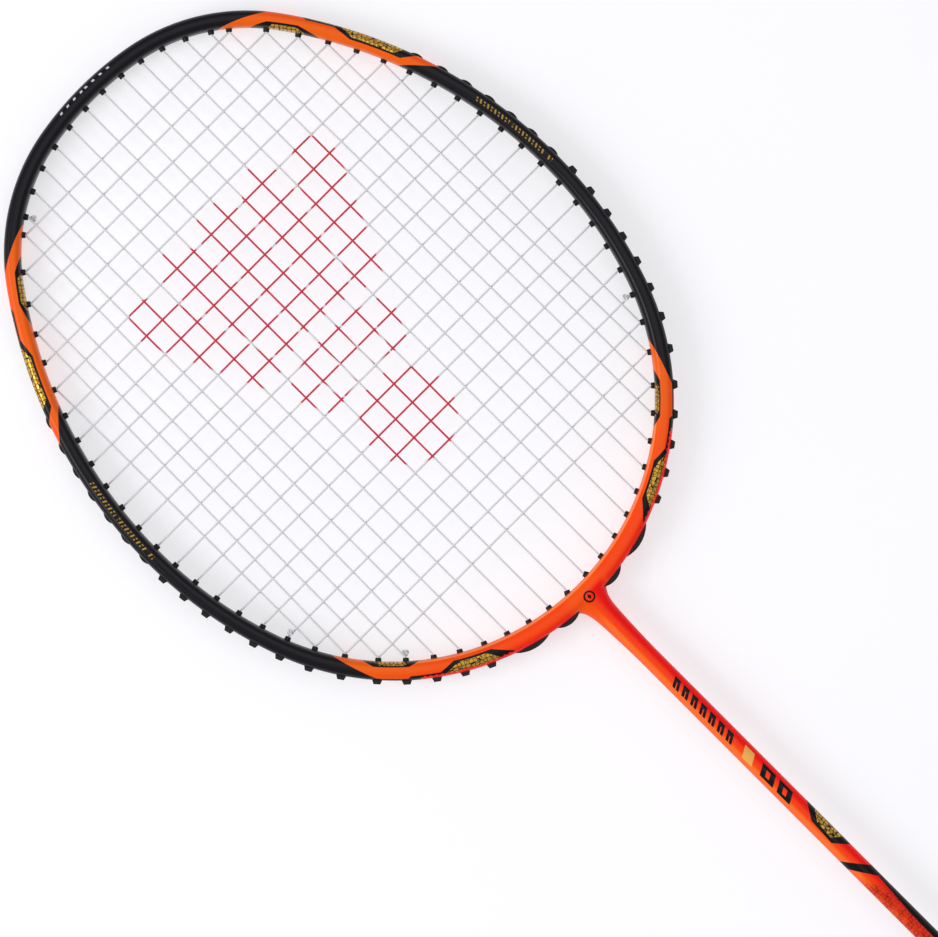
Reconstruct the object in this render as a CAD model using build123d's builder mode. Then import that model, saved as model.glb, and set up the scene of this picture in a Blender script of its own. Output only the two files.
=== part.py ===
from build123d import *

import os
from math import cos, pi, radians, sin, tan

# Badminton racket: a drilled, grooved hoop on a slim shaft, strung, with a wrapped eight-sided handle.
# It lies flat. X runs from the butt's end face (X = 0) to the tip of the head, Y is across the string
# bed and Z is square to it. All sizes are in millimetres.

os.makedirs("parts", exist_ok=True)

# ---------------------------------------------------------------- overall
RACKET_LENGTH = 675.0
HEAD_LENGTH = 249.7
HEAD_WIDTH = 199.6
WIDEST_FROM_TIP = 132.7

# ---------------------------------------------------------------- hoop outline: tangent arcs by turning angle
CORNER_RADIUS = 69.0
TIP_TURN = radians(10)
CORNER_TURN = radians(54)
SHOULDER_TURN = radians(109)

# ---------------------------------------------------------------- hoop tube
TUBE_AT_TIP = 6.2
TUBE_AT_SIDE = 5.9
TUBE_AT_THROAT = 7.2
TUBE_DEPTH = 10.4
TUBE_EDGE_RADIUS = 2.3
TUBE_WALL = 1.2
GROOVE_DEPTH = 1.6
GROOVE_HEIGHT = 5.0
GROOVE_WALL = 1.0

# ---------------------------------------------------------------- strings
STRING_DIAMETER = 0.7
STRING_GAP = 0.02
CENTRE_MAIN_GAP = 8.2
TENTH_MAIN_MARGIN = 19.7
LAST_MAIN_MARGIN = 11.1
MAIN_EASE = 0.09
MAINS_PER_SIDE = 11
CROSS_COUNT = 22
FIRST_CROSS_MARGIN = 16.6
LAST_CROSS_MARGIN = 30.7
HOLE_BEND = 1.1
MOUTH_BEND = 1.4
RUN_SHARE = 0.45

# Mains that leave the hoop through a cross string's hole: main number to cross number.
TIP_SHARED = {7: 1, 8: 2, 9: 3, 10: 4, 11: 6}
THROAT_SHARED = {9: 22, 10: 21, 11: 20}
MAIN_TIE_CROSS = 19
FIRST_CROSS_TIE_MAIN = 6
LAST_CROSS_TIE_MAIN = 8

# ---------------------------------------------------------------- grommets
BARREL_DIAMETER = 2.3
BARREL_TIP_DIAMETER = 2.0
BARREL_BORE = 1.6
BARREL_REACH = 1.2
BARREL_FIT = 0.05
SADDLE_BASE = 0.8
SADDLE_HEIGHT = 4.8
SADDLE_SLOT = 1.7
SADDLE_LENGTH = 4.6
SADDLE_SIDE_ANGLE = 68.0
SADDLE_RISE = 1.2
DOME_RISE = 0.5
FLUSH_DROP = 0.3
CORNER_HEAD_LENGTH = 5.0
HUMP_RISE = 1.4
HUMP_SPANS = ((5.6, 15.2), (18.4, 31.4))
THROAT_SPLAY = radians(22)
LINK_STEP = 6.5
FIRST_DOME_CROSS = 7
FIRST_SADDLE_CROSS = 14
FIRST_THROAT_SADDLE_MAIN = 5

# ---------------------------------------------------------------- knots
KNOT_DIAMETER = 2.0
KNOT_LENGTH = 2.4
KNOT_ROUND = 0.6
TAIL_PAST_MOUTH = 0.5

# ---------------------------------------------------------------- shaft, T-joint and throat cone
SHAFT_DIAMETER = 7.0
SHAFT_BORE = 4.0
SPIGOT_DIAMETER = 5.4
THROAT_CONE_LENGTH = 27.0
# Sections of the throat cone: share of its length from the shaft, half width and half thickness.
THROAT_SECTIONS = (
    (0.0, 3.5, 3.5),
    (0.3, 3.65, 3.6),
    (0.56, 4.1, 3.85),
    (0.82, 4.8, 4.2),
    (0.93, 5.6, 4.4),
    (1.0, 6.9, 4.6),
)
SPIGOT_CLEARANCE = 2.0
T_BAR_HALF_SPAN = 16.6
T_STEM_IN_SHAFT = 30.0
INNER_FIT = 0.05
SHAFT_IN_HANDLE = 100.0

# ---------------------------------------------------------------- handle
HANDLE_LENGTH = 168.0
CORE_WIDTH = 24.6
CORE_THICKNESS = 21.6
OCTAGON_SHARE = 0.29
CORE_START = 3.0
SHAFT_BORE_FIT = 0.1
TENON_DIAMETER = 17.0
TENON_LENGTH = 10.0
BUTT_BORE_DIAMETER = 12.0
BUTT_BORE_LENGTH = 55.0
CONE_LENGTH = 40.0
CONE_BASE_DIAMETER = 23.4
CONE_TOP_DIAMETER = 10.2
CONE_TOP_ROUND = 1.0
CONE_BULGE = 1.6
GRIP_THICKNESS = 1.7
GRIP_FIT = 0.05
BUTT_LENGTH = 22.0
BUTT_FLARE = 1.0
BUTT_SKIRT = 0.55
BUTT_RIM = 1.2
BADGE_WIDTH = 17.0
BADGE_HEIGHT = 14.0
BADGE_THICKNESS = 0.8
TAPE_WIDTH = 16.0
TAPE_THICKNESS = 0.25
PIN_DIAMETER = 2.0
PIN_LENGTH = 18.0
PIN_FROM_SHAFT_END = 14.0
BRAD_DIAMETER = 1.2
BRAD_LENGTH = 9.0
BRAD_HEAD_DIAMETER = 2.6
BRAD_HEAD_THICKNESS = 0.4
BRAD_PLACE = 15.0

# ---------------------------------------------------------------- worked out from the sizes above
TIP_LINE = RACKET_LENGTH - TUBE_AT_TIP / 2
THROAT_LINE = RACKET_LENGTH - HEAD_LENGTH + TUBE_AT_THROAT / 2
WIDEST_LINE = RACKET_LENGTH - WIDEST_FROM_TIP
SIDE_LINE = (HEAD_WIDTH - TUBE_AT_SIDE) / 2
STRING_RADIUS = STRING_DIAMETER / 2
STRING_LEVEL = STRING_RADIUS + STRING_GAP / 2


def two_radii(a, b, c, d, reach, width):
    """Solve a*r + b*q = reach and c*r + d*q = width for the two arc radii r and q."""
    scale = a * d - b * c
    return (reach * d - width * b) / scale, (a * width - c * reach) / scale


class Loop:
    """Closed outline of tangent arcs round the head, symmetric about X.

    A point is named by its turning angle: 0 at the tip, pi / 2 at the side, pi at the throat, and
    negative on the -Y side. band is -1 on the tube's inner edge, 0 on its centre line and +1 on its
    outer edge. shift moves the outline that far further out, parallel to itself.
    """

    def __init__(self, band, shift=0.0):
        tip_reach = TIP_LINE - WIDEST_LINE + band * TUBE_AT_TIP / 2
        throat_reach = WIDEST_LINE - THROAT_LINE + band * TUBE_AT_THROAT / 2
        width = SIDE_LINE + band * TUBE_AT_SIDE / 2
        corner = CORNER_RADIUS + band * TUBE_AT_TIP / 2
        tip, side = two_radii(
            1 - cos(TIP_TURN),
            cos(CORNER_TURN),
            sin(TIP_TURN),
            1 - sin(CORNER_TURN),
            tip_reach - corner * (cos(TIP_TURN) - cos(CORNER_TURN)),
            width - corner * (sin(CORNER_TURN) - sin(TIP_TURN)),
        )
        throat, shoulder = two_radii(
            1 + cos(SHOULDER_TURN),
            -cos(SHOULDER_TURN),
            sin(SHOULDER_TURN),
            1 - sin(SHOULDER_TURN),
            throat_reach,
            width,
        )
        self.tip_x = WIDEST_LINE + tip_reach + shift
        self.radii = [radius + shift for radius in (tip, corner, side, shoulder, throat)]
        self.turns = [0.0, TIP_TURN, CORNER_TURN, pi / 2, SHOULDER_TURN, pi]

    def point(self, turn):
        """Point at a turning angle between -pi and 2 pi."""
        side = 1.0
        if turn > pi:
            turn, side = 2 * pi - turn, -1.0
        if turn < 0:
            turn, side = -turn, -1.0
        x, y = self.tip_x, 0.0
        for radius, start, end in zip(self.radii, self.turns, self.turns[1:]):
            stop = min(turn, end)
            if stop > start:
                x -= radius * (cos(start) - cos(stop))
                y += radius * (sin(stop) - sin(start))
        return x, side * y

    def turn_where(self, axis, value, low, high):
        """Turning angle between low and high where the outline's x (axis 0) or y (axis 1) is value."""
        rising = self.point(high)[axis] > self.point(low)[axis]
        for _ in range(60):
            middle = (low + high) / 2
            if (self.point(middle)[axis] < value) == rising:
                low = middle
            else:
                high = middle
        return (low + high) / 2

    def draw(self, start, end):
        """Add the arcs from one turning angle to another to the current line."""
        inner = self.turns[1:-1]
        breaks = sorted([-turn for turn in inner] + inner + [2 * pi - turn for turn in inner])
        stops = [start] + [turn for turn in breaks if start + 1e-6 < turn < end - 1e-6] + [end]
        for a, b in zip(stops, stops[1:]):
            ThreePointArc(self.point(a), self.point((a + b) / 2), self.point(b))


def ring_face(outer, inner):
    """Face between two whole loops."""
    with BuildSketch() as ring:
        with BuildLine():
            outer.draw(-TIP_TURN, 2 * pi - TIP_TURN)
        make_face()
        with BuildLine():
            inner.draw(-TIP_TURN, 2 * pi - TIP_TURN)
        make_face(mode=Mode.SUBTRACT)
    return ring.sketch


def stretch_face(outer, inner, start, end):
    """Face between two loops, from one turning angle to another."""
    with BuildSketch() as stretch:
        with BuildLine():
            outer.draw(start, end)
            inner.draw(start, end)
            Line(outer.point(start), inner.point(start))
            Line(outer.point(end), inner.point(end))
        make_face()
    return stretch.sketch


OUTER = Loop(1)
INNER = Loop(-1)
GROOVE_FLOOR = Loop(1, -GROOVE_DEPTH)
CAVITY_OUTER = Loop(1, -GROOVE_DEPTH - GROOVE_WALL)
CAVITY_INNER = Loop(-1, TUBE_WALL)
MOUTHS = Loop(-1, -BARREL_REACH)
LINKS = Loop(1, -GROOVE_DEPTH + SADDLE_BASE + STRING_RADIUS + BARREL_FIT)
BEYOND = Loop(1, 4 * HUMP_RISE)


class StringHole:
    """A drilled hole through the hoop, from its inner mouth outwards."""

    def __init__(self, turn, side, splay=0.0):
        self.turn = turn
        self.side = side
        self.along = Vector(cos(turn + splay), side * sin(turn + splay), 0)
        self.normal = Vector(cos(turn), side * sin(turn), 0)
        x, y = MOUTHS.point(turn)
        self.mouth = Vector(x, side * y, 0)
        self.splay = splay

    def depth(self, loop):
        """Distance along the hole from its mouth to a loop."""
        x, y = loop.point(self.turn)
        gap = Vector(x, self.side * y, 0) - self.mouth
        return gap.dot(self.normal) / cos(self.splay)

    def at(self, depth):
        """Point at a distance along the hole from its mouth."""
        return self.mouth + self.along * depth

    def plane(self, depth):
        """Plane square to the hole, its x axis along the groove and its z axis outwards."""
        across = Vector(-self.along.Y, self.along.X, 0)
        return Plane(origin=self.at(depth), x_dir=across, z_dir=self.along)


# Lines of the strings: half of the mains by their Y, the crosses by their X.
CLEAR_HALF_WIDTH = HEAD_WIDTH / 2 - TUBE_AT_SIDE
FIRST_MAIN = CENTRE_MAIN_GAP / 2
TENTH_MAIN = CLEAR_HALF_WIDTH - TENTH_MAIN_MARGIN
EASED_MAINS = MAINS_PER_SIDE - 2
MAIN_LINES = [
    FIRST_MAIN + (TENTH_MAIN - FIRST_MAIN) * share * (1 + MAIN_EASE * (1 - share))
    for share in (number / EASED_MAINS for number in range(EASED_MAINS + 1))
]
MAIN_LINES.append(CLEAR_HALF_WIDTH - LAST_MAIN_MARGIN)
FIRST_CROSS = RACKET_LENGTH - TUBE_AT_TIP - FIRST_CROSS_MARGIN
LAST_CROSS = RACKET_LENGTH - HEAD_LENGTH + TUBE_AT_THROAT + LAST_CROSS_MARGIN
CROSS_PITCH = (FIRST_CROSS - LAST_CROSS) / (CROSS_COUNT - 1)
CROSS_LINES = [FIRST_CROSS - CROSS_PITCH * number for number in range(CROSS_COUNT)]


def cross_hole(number, side):
    """Hole where a cross string meets the hoop."""
    return StringHole(MOUTHS.turn_where(0, CROSS_LINES[number - 1], 0.0, pi), side)


def tip_hole(number, side):
    """Hole at a main string's tip end, its own or a cross string's."""
    if number in TIP_SHARED:
        return cross_hole(TIP_SHARED[number], side)
    return StringHole(MOUTHS.turn_where(1, MAIN_LINES[number - 1], 0.0, pi / 2), side)


def throat_hole(number, side):
    """Hole at a main string's throat end, its own or a cross string's."""
    if number in THROAT_SHARED:
        return cross_hole(THROAT_SHARED[number], side)
    splay = -THROAT_SPLAY if number == 1 else 0.0
    return StringHole(MOUTHS.turn_where(1, MAIN_LINES[number - 1], pi / 2, pi), side, splay)


SIDES = (1, -1)
OWN_TIP = [number for number in range(1, MAINS_PER_SIDE + 1) if number not in TIP_SHARED]
OWN_THROAT = [number for number in range(1, MAINS_PER_SIDE + 1) if number not in THROAT_SHARED]
STRIP_HOLES = [tip_hole(number, side) for number in OWN_TIP for side in SIDES]
CORNER_HOLES = [cross_hole(number, side) for number in range(1, FIRST_DOME_CROSS) for side in SIDES]
DOME_HOLES = [
    cross_hole(number, side) for number in range(FIRST_DOME_CROSS, FIRST_SADDLE_CROSS) for side in SIDES
]
SADDLE_HOLES = [
    cross_hole(number, side) for number in range(FIRST_SADDLE_CROSS, CROSS_COUNT + 1) for side in SIDES
]
SADDLE_HOLES += [
    throat_hole(number, side)
    for number in OWN_THROAT
    if number >= FIRST_THROAT_SADDLE_MAIN
    for side in SIDES
]
INNER_HUMP_HOLES = [throat_hole(number, side) for number in (1, 2) for side in SIDES]
OUTER_HUMP_HOLES = [throat_hole(number, side) for number in (3, 4) for side in SIDES]
ALL_HOLES = STRIP_HOLES + CORNER_HOLES + DOME_HOLES + SADDLE_HOLES + INNER_HUMP_HOLES + OUTER_HUMP_HOLES


def drill(holes, diameter, start=-1.0, spare=6.0):
    """Straight pegs along holes, from start past each mouth to spare beyond the groove floor."""
    with BuildPart() as pegs:
        for hole in holes:
            length = hole.depth(GROOVE_FLOOR) + spare - start
            with Locations(hole.plane(start)):
                Cylinder(diameter / 2, length, align=(Align.CENTER, Align.CENTER, Align.MIN))
    return pegs.part


def barrels(holes):
    """Grommet barrels, tapered where they stand out of the hoop, from each mouth to the groove floor."""
    seated = (Align.CENTER, Align.CENTER, Align.MIN)
    with BuildPart() as tubes:
        for hole in holes:
            depth = hole.depth(GROOVE_FLOOR) + SADDLE_BASE / 2
            with Locations(hole.plane(0)):
                Cone(BARREL_TIP_DIAMETER / 2, BARREL_DIAMETER / 2, BARREL_REACH, align=seated)
            with Locations(hole.plane(BARREL_REACH)):
                Cylinder(BARREL_DIAMETER / 2, depth - BARREL_REACH, align=seated)
    return tubes.part


def save(piece, name):
    """Label a finished piece and write it under its node's name."""
    piece.part.label = name
    export_step(piece.part, f"parts/{name}.step")


# ---------------------------------------------------------------- hoop
HOLE_DIAMETER = BARREL_DIAMETER + 2 * BARREL_FIT
STEM_RADIUS = SHAFT_BORE / 2 - INNER_FIT
with BuildPart() as head_frame:
    extrude(ring_face(OUTER, INNER), amount=TUBE_DEPTH / 2, both=True)
    rims = head_frame.edges().filter_by(lambda e: abs(abs(e.center().Z) - TUBE_DEPTH / 2) < 0.01)
    fillet(rims, min(TUBE_EDGE_RADIUS, 0.45 * TUBE_AT_SIDE))
    extrude(
        ring_face(CAVITY_OUTER, CAVITY_INNER),
        amount=TUBE_DEPTH / 2 - TUBE_WALL,
        both=True,
        mode=Mode.SUBTRACT,
    )
    extrude(ring_face(BEYOND, GROOVE_FLOOR), amount=GROOVE_HEIGHT / 2, both=True, mode=Mode.SUBTRACT)
    add(drill(ALL_HOLES, HOLE_DIAMETER), mode=Mode.SUBTRACT)
    stem_way = Plane(origin=(CAVITY_OUTER.point(pi)[0] + GROOVE_WALL, 0, 0), z_dir=(-1, 0, 0))
    with Locations(stem_way):
        Cylinder(
            STEM_RADIUS + INNER_FIT,
            3 * GROOVE_DEPTH + GROOVE_WALL,
            align=(Align.CENTER, Align.CENTER, Align.MIN),
            mode=Mode.SUBTRACT,
        )
save(head_frame, "head_frame")

# ---------------------------------------------------------------- grommets
with BuildPart() as tip_grommet_strip:
    strip_end = max(hole.turn for hole in STRIP_HOLES)
    strip_end += CORNER_HEAD_LENGTH / 2 / CORNER_RADIUS
    strip_top = Loop(1, -GROOVE_DEPTH + SADDLE_BASE)
    extrude(stretch_face(strip_top, GROOVE_FLOOR, -strip_end, strip_end), SADDLE_HEIGHT / 2, both=True)
    lips = stretch_face(Loop(1, -FLUSH_DROP), GROOVE_FLOOR, -strip_end, strip_end)
    extrude(lips, SADDLE_HEIGHT / 2, both=True)
    extrude(ring_face(BEYOND, strip_top), SADDLE_SLOT / 2, both=True, mode=Mode.SUBTRACT)
    add(barrels(STRIP_HOLES))
    add(drill(STRIP_HOLES, BARREL_BORE), mode=Mode.SUBTRACT)
save(tip_grommet_strip, "tip_grommet_strip")


def saddle_block(length, rise, angle):
    """Head of a single grommet, seen along Z: a trapezoid from the groove floor to rise above the hoop."""
    return Trapezoid(length, GROOVE_DEPTH + rise, angle, align=(Align.CENTER, Align.MIN), mode=Mode.PRIVATE)


def single_grommets(holes, head, rise):
    """Separate grommets, each a barrel under a slotted head."""
    with BuildPart() as grommets:
        for hole in holes:
            seat = hole.at(hole.depth(GROOVE_FLOOR))
            side_view = Plane(origin=seat, x_dir=(-hole.along.Y, hole.along.X, 0), z_dir=(0, 0, -1))
            if side_view.y_dir.dot(hole.along) < 0:
                side_view = Plane(origin=seat, x_dir=side_view.x_dir, z_dir=(0, 0, 1))
            extrude(side_view * head, SADDLE_HEIGHT / 2, both=True)
            with Locations(hole.plane(hole.depth(GROOVE_FLOOR) + SADDLE_BASE)):
                Box(
                    3 * SADDLE_LENGTH,
                    SADDLE_SLOT,
                    2 * (GROOVE_DEPTH + rise),
                    align=(Align.CENTER, Align.CENTER, Align.MIN),
                    mode=Mode.SUBTRACT,
                )
        add(barrels(holes))
        add(drill(holes, BARREL_BORE), mode=Mode.SUBTRACT)
    return grommets


corner_grommets = single_grommets(
    CORNER_HOLES, saddle_block(CORNER_HEAD_LENGTH, -FLUSH_DROP, 90.0), -FLUSH_DROP
)
save(corner_grommets, "corner_grommets")

with BuildSketch() as dome:
    with BuildLine():
        dome_half = CORNER_HEAD_LENGTH / 2
        Line((-dome_half, 0), (dome_half, 0))
        Line((dome_half, 0), (dome_half, GROOVE_DEPTH - FLUSH_DROP))
        ThreePointArc(
            (dome_half, GROOVE_DEPTH - FLUSH_DROP),
            (0, GROOVE_DEPTH + DOME_RISE),
            (-dome_half, GROOVE_DEPTH - FLUSH_DROP),
        )
        Line((-dome_half, GROOVE_DEPTH - FLUSH_DROP), (-dome_half, 0))
    make_face()
dome_grommets = single_grommets(DOME_HOLES, dome.sketch, DOME_RISE)
save(dome_grommets, "dome_grommets")

saddle_grommets = single_grommets(
    SADDLE_HOLES, saddle_block(SADDLE_LENGTH, SADDLE_RISE, SADDLE_SIDE_ANGLE), SADDLE_RISE
)
save(saddle_grommets, "saddle_grommets")


def hump_face(start, end):
    """Lens between two turning angles: the groove floor below, one arc over the hoop's edge above."""
    low_edge = Loop(1, -FLUSH_DROP)
    with BuildSketch() as lens:
        with BuildLine():
            GROOVE_FLOOR.draw(start, end)
            Line(GROOVE_FLOOR.point(start), low_edge.point(start))
            Line(GROOVE_FLOOR.point(end), low_edge.point(end))
            crest = Loop(1, HUMP_RISE).point((start + end) / 2)
            ThreePointArc(low_edge.point(start), crest, low_edge.point(end))
        make_face()
    return lens.sketch


def hump_pair(holes, span):
    """Twin grommets, one each side of the throat, under one rounded hump with a string slot."""
    far, near = (GROOVE_FLOOR.turn_where(1, reach, pi / 2, pi) for reach in reversed(span))
    slot_floor = Loop(1, -GROOVE_DEPTH + SADDLE_BASE)
    with BuildPart() as humps:
        extrude(hump_face(far, near), SADDLE_HEIGHT / 2, both=True)
        extrude(hump_face(2 * pi - near, 2 * pi - far), SADDLE_HEIGHT / 2, both=True)
        extrude(ring_face(BEYOND, slot_floor), SADDLE_SLOT / 2, both=True, mode=Mode.SUBTRACT)
        add(barrels(holes))
        add(drill(holes, BARREL_BORE), mode=Mode.SUBTRACT)
    return humps


throat_inner_grommets = hump_pair(INNER_HUMP_HOLES, HUMP_SPANS[0])
save(throat_inner_grommets, "throat_inner_grommets")
throat_outer_grommets = hump_pair(OUTER_HUMP_HOLES, HUMP_SPANS[1])
save(throat_outer_grommets, "throat_outer_grommets")


# ---------------------------------------------------------------- strings
def link_between(leaving, entering):
    """Corners of the string outside the hoop, from one hole to another along the groove."""
    a = leaving.turn * leaving.side
    b = entering.turn * entering.side
    if leaving.side != entering.side and leaving.turn > pi / 2:
        a, b = a % (2 * pi), b % (2 * pi)
    start = leaving.at(leaving.depth(LINKS))
    end = entering.at(entering.depth(LINKS))
    steps = int((end - start).length / LINK_STEP)
    middles = [LINKS.point(a + (b - a) * step / (steps + 1)) for step in range(1, steps + 1)]
    corners = [(start, HOLE_BEND)]
    corners += [(Vector(x, y, 0), None) for x, y in middles]
    corners += [(end, HOLE_BEND)]
    return corners


def route_corners(holes, first_tie, last_tie):
    """Corners of one string that goes in and out through pairs of holes, tied off at both ends."""
    corners = [(first_tie.at(-TAIL_PAST_MOUTH), None)]
    corners += link_between(first_tie, holes[0][0])
    for number, (entry, leave) in enumerate(holes):
        corners += [(entry.mouth, MOUTH_BEND), (leave.mouth, MOUTH_BEND)]
        following = holes[number + 1][0] if number + 1 < len(holes) else last_tie
        corners += link_between(leave, following)
    corners.append((last_tie.at(-TAIL_PAST_MOUTH), None))
    return corners


def bend_radii(corners):
    """Radius of each inner corner: its own, or as large as its two runs allow."""
    radii = []
    for (before, _), (here, wanted), (after, _) in zip(corners, corners[1:], corners[2:]):
        turn = radians((here - before).get_angle(after - here))
        run = min((here - before).length, (after - here).length)
        largest = RUN_SHARE * run / tan(max(turn, radians(0.2)) / 2)
        radii.append(largest if wanted is None else min(wanted, largest))
    return radii


def string_part(corners, level):
    """One string as a round tube along its route, at its own height in the bed."""
    points = [Vector(point.X, point.Y, level) for point, _ in corners]
    radii = bend_radii(corners)
    print("string bends:", round(min(radii), 2), "to", round(max(radii), 1), "mm")
    with BuildPart() as strand:
        with BuildLine() as route:
            FilletPolyline(*points, radius=radii)
        with BuildSketch(Plane(origin=points[0], z_dir=points[1] - points[0])):
            Circle(STRING_RADIUS)
        sweep(path=route.line)
    length = sum(edge.length for edge in route.edges())
    ratio = strand.part.volume / (pi * STRING_RADIUS**2 * length)
    print("string length", round(length), "mm, volume over section times length", round(ratio, 4))
    return strand


main_runs = []
for number in range(MAINS_PER_SIDE, 0, -1):
    ends = [throat_hole(number, 1), tip_hole(number, 1)]
    main_runs.append(ends if number % 2 else ends[::-1])
for number in range(1, MAINS_PER_SIDE + 1):
    ends = [tip_hole(number, -1), throat_hole(number, -1)]
    main_runs.append(ends if number % 2 else ends[::-1])
main_ties = [cross_hole(MAIN_TIE_CROSS, side) for side in SIDES]
main_string = string_part(route_corners(main_runs, *main_ties), STRING_LEVEL)
save(main_string, "main_string")

cross_runs = []
for number in range(1, CROSS_COUNT + 1):
    ends = [cross_hole(number, 1), cross_hole(number, -1)]
    cross_runs.append(ends if number % 2 else ends[::-1])
cross_ties = [tip_hole(FIRST_CROSS_TIE_MAIN, 1), throat_hole(LAST_CROSS_TIE_MAIN, 1)]
cross_string = string_part(route_corners(cross_runs, *cross_ties), -STRING_LEVEL)
save(cross_string, "cross_string")


def knots(ties, way):
    """Knots at the inner mouths of tie-off holes, on the +Z (way 1) or -Z (way -1) side of the bed."""
    with BuildPart() as tied:
        for hole in ties:
            seat = hole.plane(-TAIL_PAST_MOUTH - KNOT_LENGTH)
            lift = way * (KNOT_DIAMETER / 2 + STRING_GAP)
            with Locations(Plane(origin=seat.origin + Vector(0, 0, lift), z_dir=seat.z_dir)):
                Cylinder(KNOT_DIAMETER / 2, KNOT_LENGTH, align=(Align.CENTER, Align.CENTER, Align.MIN))
        fillet(tied.edges().filter_by(GeomType.CIRCLE), KNOT_ROUND)
    return tied


main_knots = knots(main_ties, 1)
save(main_knots, "main_knots")
cross_knots = knots(cross_ties, -1)
save(cross_knots, "cross_knots")

# ---------------------------------------------------------------- T-joint, throat cone and shaft
HOOP_BACK = OUTER.point(pi)[0]
CONE_END = HOOP_BACK - THROAT_CONE_LENGTH
SPIGOT_END = HOOP_BACK - SPIGOT_CLEARANCE
SHAFT_START = HANDLE_LENGTH - SHAFT_IN_HANDLE
SHAFT_RADIUS = SHAFT_DIAMETER / 2
SPIGOT_RADIUS = SPIGOT_DIAMETER / 2

with BuildPart() as t_joint:
    bar_turn = CAVITY_OUTER.turn_where(1, T_BAR_HALF_SPAN, pi / 2, pi)
    bar = stretch_face(
        Loop(1, -GROOVE_DEPTH - GROOVE_WALL - INNER_FIT),
        Loop(-1, TUBE_WALL + INNER_FIT),
        bar_turn,
        2 * pi - bar_turn,
    )
    extrude(bar, TUBE_DEPTH / 2 - TUBE_WALL - INNER_FIT, both=True)
    add(drill(INNER_HUMP_HOLES, HOLE_DIAMETER), mode=Mode.SUBTRACT)
    stem_root = CAVITY_OUTER.point(pi)[0] + GROOVE_WALL / 2
    with Locations(Plane(origin=(stem_root, 0, 0), z_dir=(-1, 0, 0))):
        Cylinder(
            STEM_RADIUS,
            stem_root - SPIGOT_END + T_STEM_IN_SHAFT,
            align=(Align.CENTER, Align.CENTER, Align.MIN),
        )
save(t_joint, "t_joint")

with BuildPart() as throat_cone:
    for share, half_width, half_thickness in THROAT_SECTIONS:
        station = Plane(origin=(CONE_END + share * THROAT_CONE_LENGTH, 0, 0), x_dir=(0, 1, 0), z_dir=(1, 0, 0))
        with BuildSketch(station):
            Ellipse(half_width, half_thickness)
    loft()
    root = throat_cone.faces().sort_by(Axis.X)[-1]
    extrude(root, amount=GROOVE_DEPTH)
    with Locations(Plane(origin=(CONE_END, 0, 0), z_dir=(1, 0, 0))):
        Cylinder(
            SPIGOT_RADIUS + INNER_FIT,
            SPIGOT_END + INNER_FIT - CONE_END,
            align=(Align.CENTER, Align.CENTER, Align.MIN),
            mode=Mode.SUBTRACT,
        )
        Cylinder(
            STEM_RADIUS + INNER_FIT,
            2 * THROAT_CONE_LENGTH,
            align=(Align.CENTER, Align.CENTER, Align.MIN),
            mode=Mode.SUBTRACT,
        )
    extrude(ring_face(OUTER, CAVITY_INNER), TUBE_DEPTH, both=True, mode=Mode.SUBTRACT)
    add(throat_inner_grommets.part, mode=Mode.SUBTRACT)
save(throat_cone, "throat_cone")

PIN_X = SHAFT_START + PIN_FROM_SHAFT_END
with BuildPart() as shaft:
    with BuildSketch(Plane.XZ):
        with BuildLine():
            Polyline(
                (SHAFT_START, SHAFT_BORE / 2),
                (SHAFT_START, SHAFT_RADIUS),
                (CONE_END, SHAFT_RADIUS),
                (CONE_END, SPIGOT_RADIUS),
                (SPIGOT_END, SPIGOT_RADIUS),
                (SPIGOT_END, SHAFT_BORE / 2),
                close=True,
            )
        make_face()
    revolve(axis=Axis.X)
    with Locations((PIN_X, 0, 0)):
        Cylinder(PIN_DIAMETER / 2 + INNER_FIT, 2 * SHAFT_DIAMETER, mode=Mode.SUBTRACT)
save(shaft, "shaft")


# ---------------------------------------------------------------- handle
def octagon(grow):
    """Eight-sided handle section, grow further out than the wooden core on every side."""
    width = CORE_WIDTH + 2 * grow
    height = CORE_THICKNESS + 2 * grow
    corner = OCTAGON_SHARE * height
    y, z = width / 2, height / 2
    with BuildSketch() as section:
        with BuildLine():
            Polyline(
                (y, z - corner),
                (y - corner, z),
                (-y + corner, z),
                (-y, z - corner),
                (-y, -z + corner),
                (-y + corner, -z),
                (y - corner, -z),
                (y, -z + corner),
                close=True,
            )
        make_face()
    return section.sketch


def across(x):
    """Plane square to the handle at x, its x axis along Y."""
    return Plane(origin=(x, 0, 0), x_dir=(0, 1, 0), z_dir=(1, 0, 0))


def prism(start, end, grow, end_grow=None):
    """Straight or tapered eight-sided bar."""
    with BuildPart() as bar:
        add(across(start) * octagon(grow))
        add(across(end) * octagon(grow if end_grow is None else end_grow))
        loft(ruled=True)
    return bar.part


GRIP_END = HANDLE_LENGTH - CONE_LENGTH / 4
with BuildPart() as handle_core:
    add(prism(CORE_START, HANDLE_LENGTH - TENON_LENGTH, 0.0))
    with BuildSketch(across(HANDLE_LENGTH - TENON_LENGTH)):
        Circle(TENON_DIAMETER / 2)
    extrude(amount=TENON_LENGTH)
    with BuildSketch(across(HANDLE_LENGTH)):
        Circle(SHAFT_RADIUS + SHAFT_BORE_FIT)
    extrude(amount=-SHAFT_IN_HANDLE, mode=Mode.SUBTRACT)
    with BuildSketch(across(CORE_START)):
        Circle(BUTT_BORE_DIAMETER / 2)
    extrude(amount=BUTT_BORE_LENGTH, mode=Mode.SUBTRACT)
    with Locations((PIN_X, 0, 0)):
        Cylinder(PIN_DIAMETER / 2 + INNER_FIT, PIN_LENGTH, mode=Mode.SUBTRACT)
    for side in SIDES:
        with Locations(Plane(origin=(BRAD_PLACE, side * CORE_WIDTH / 2, 0), z_dir=(0, side, 0))):
            Cylinder(BRAD_DIAMETER / 2 + INNER_FIT, 2 * BRAD_LENGTH, mode=Mode.SUBTRACT)
save(handle_core, "handle_core")

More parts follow.
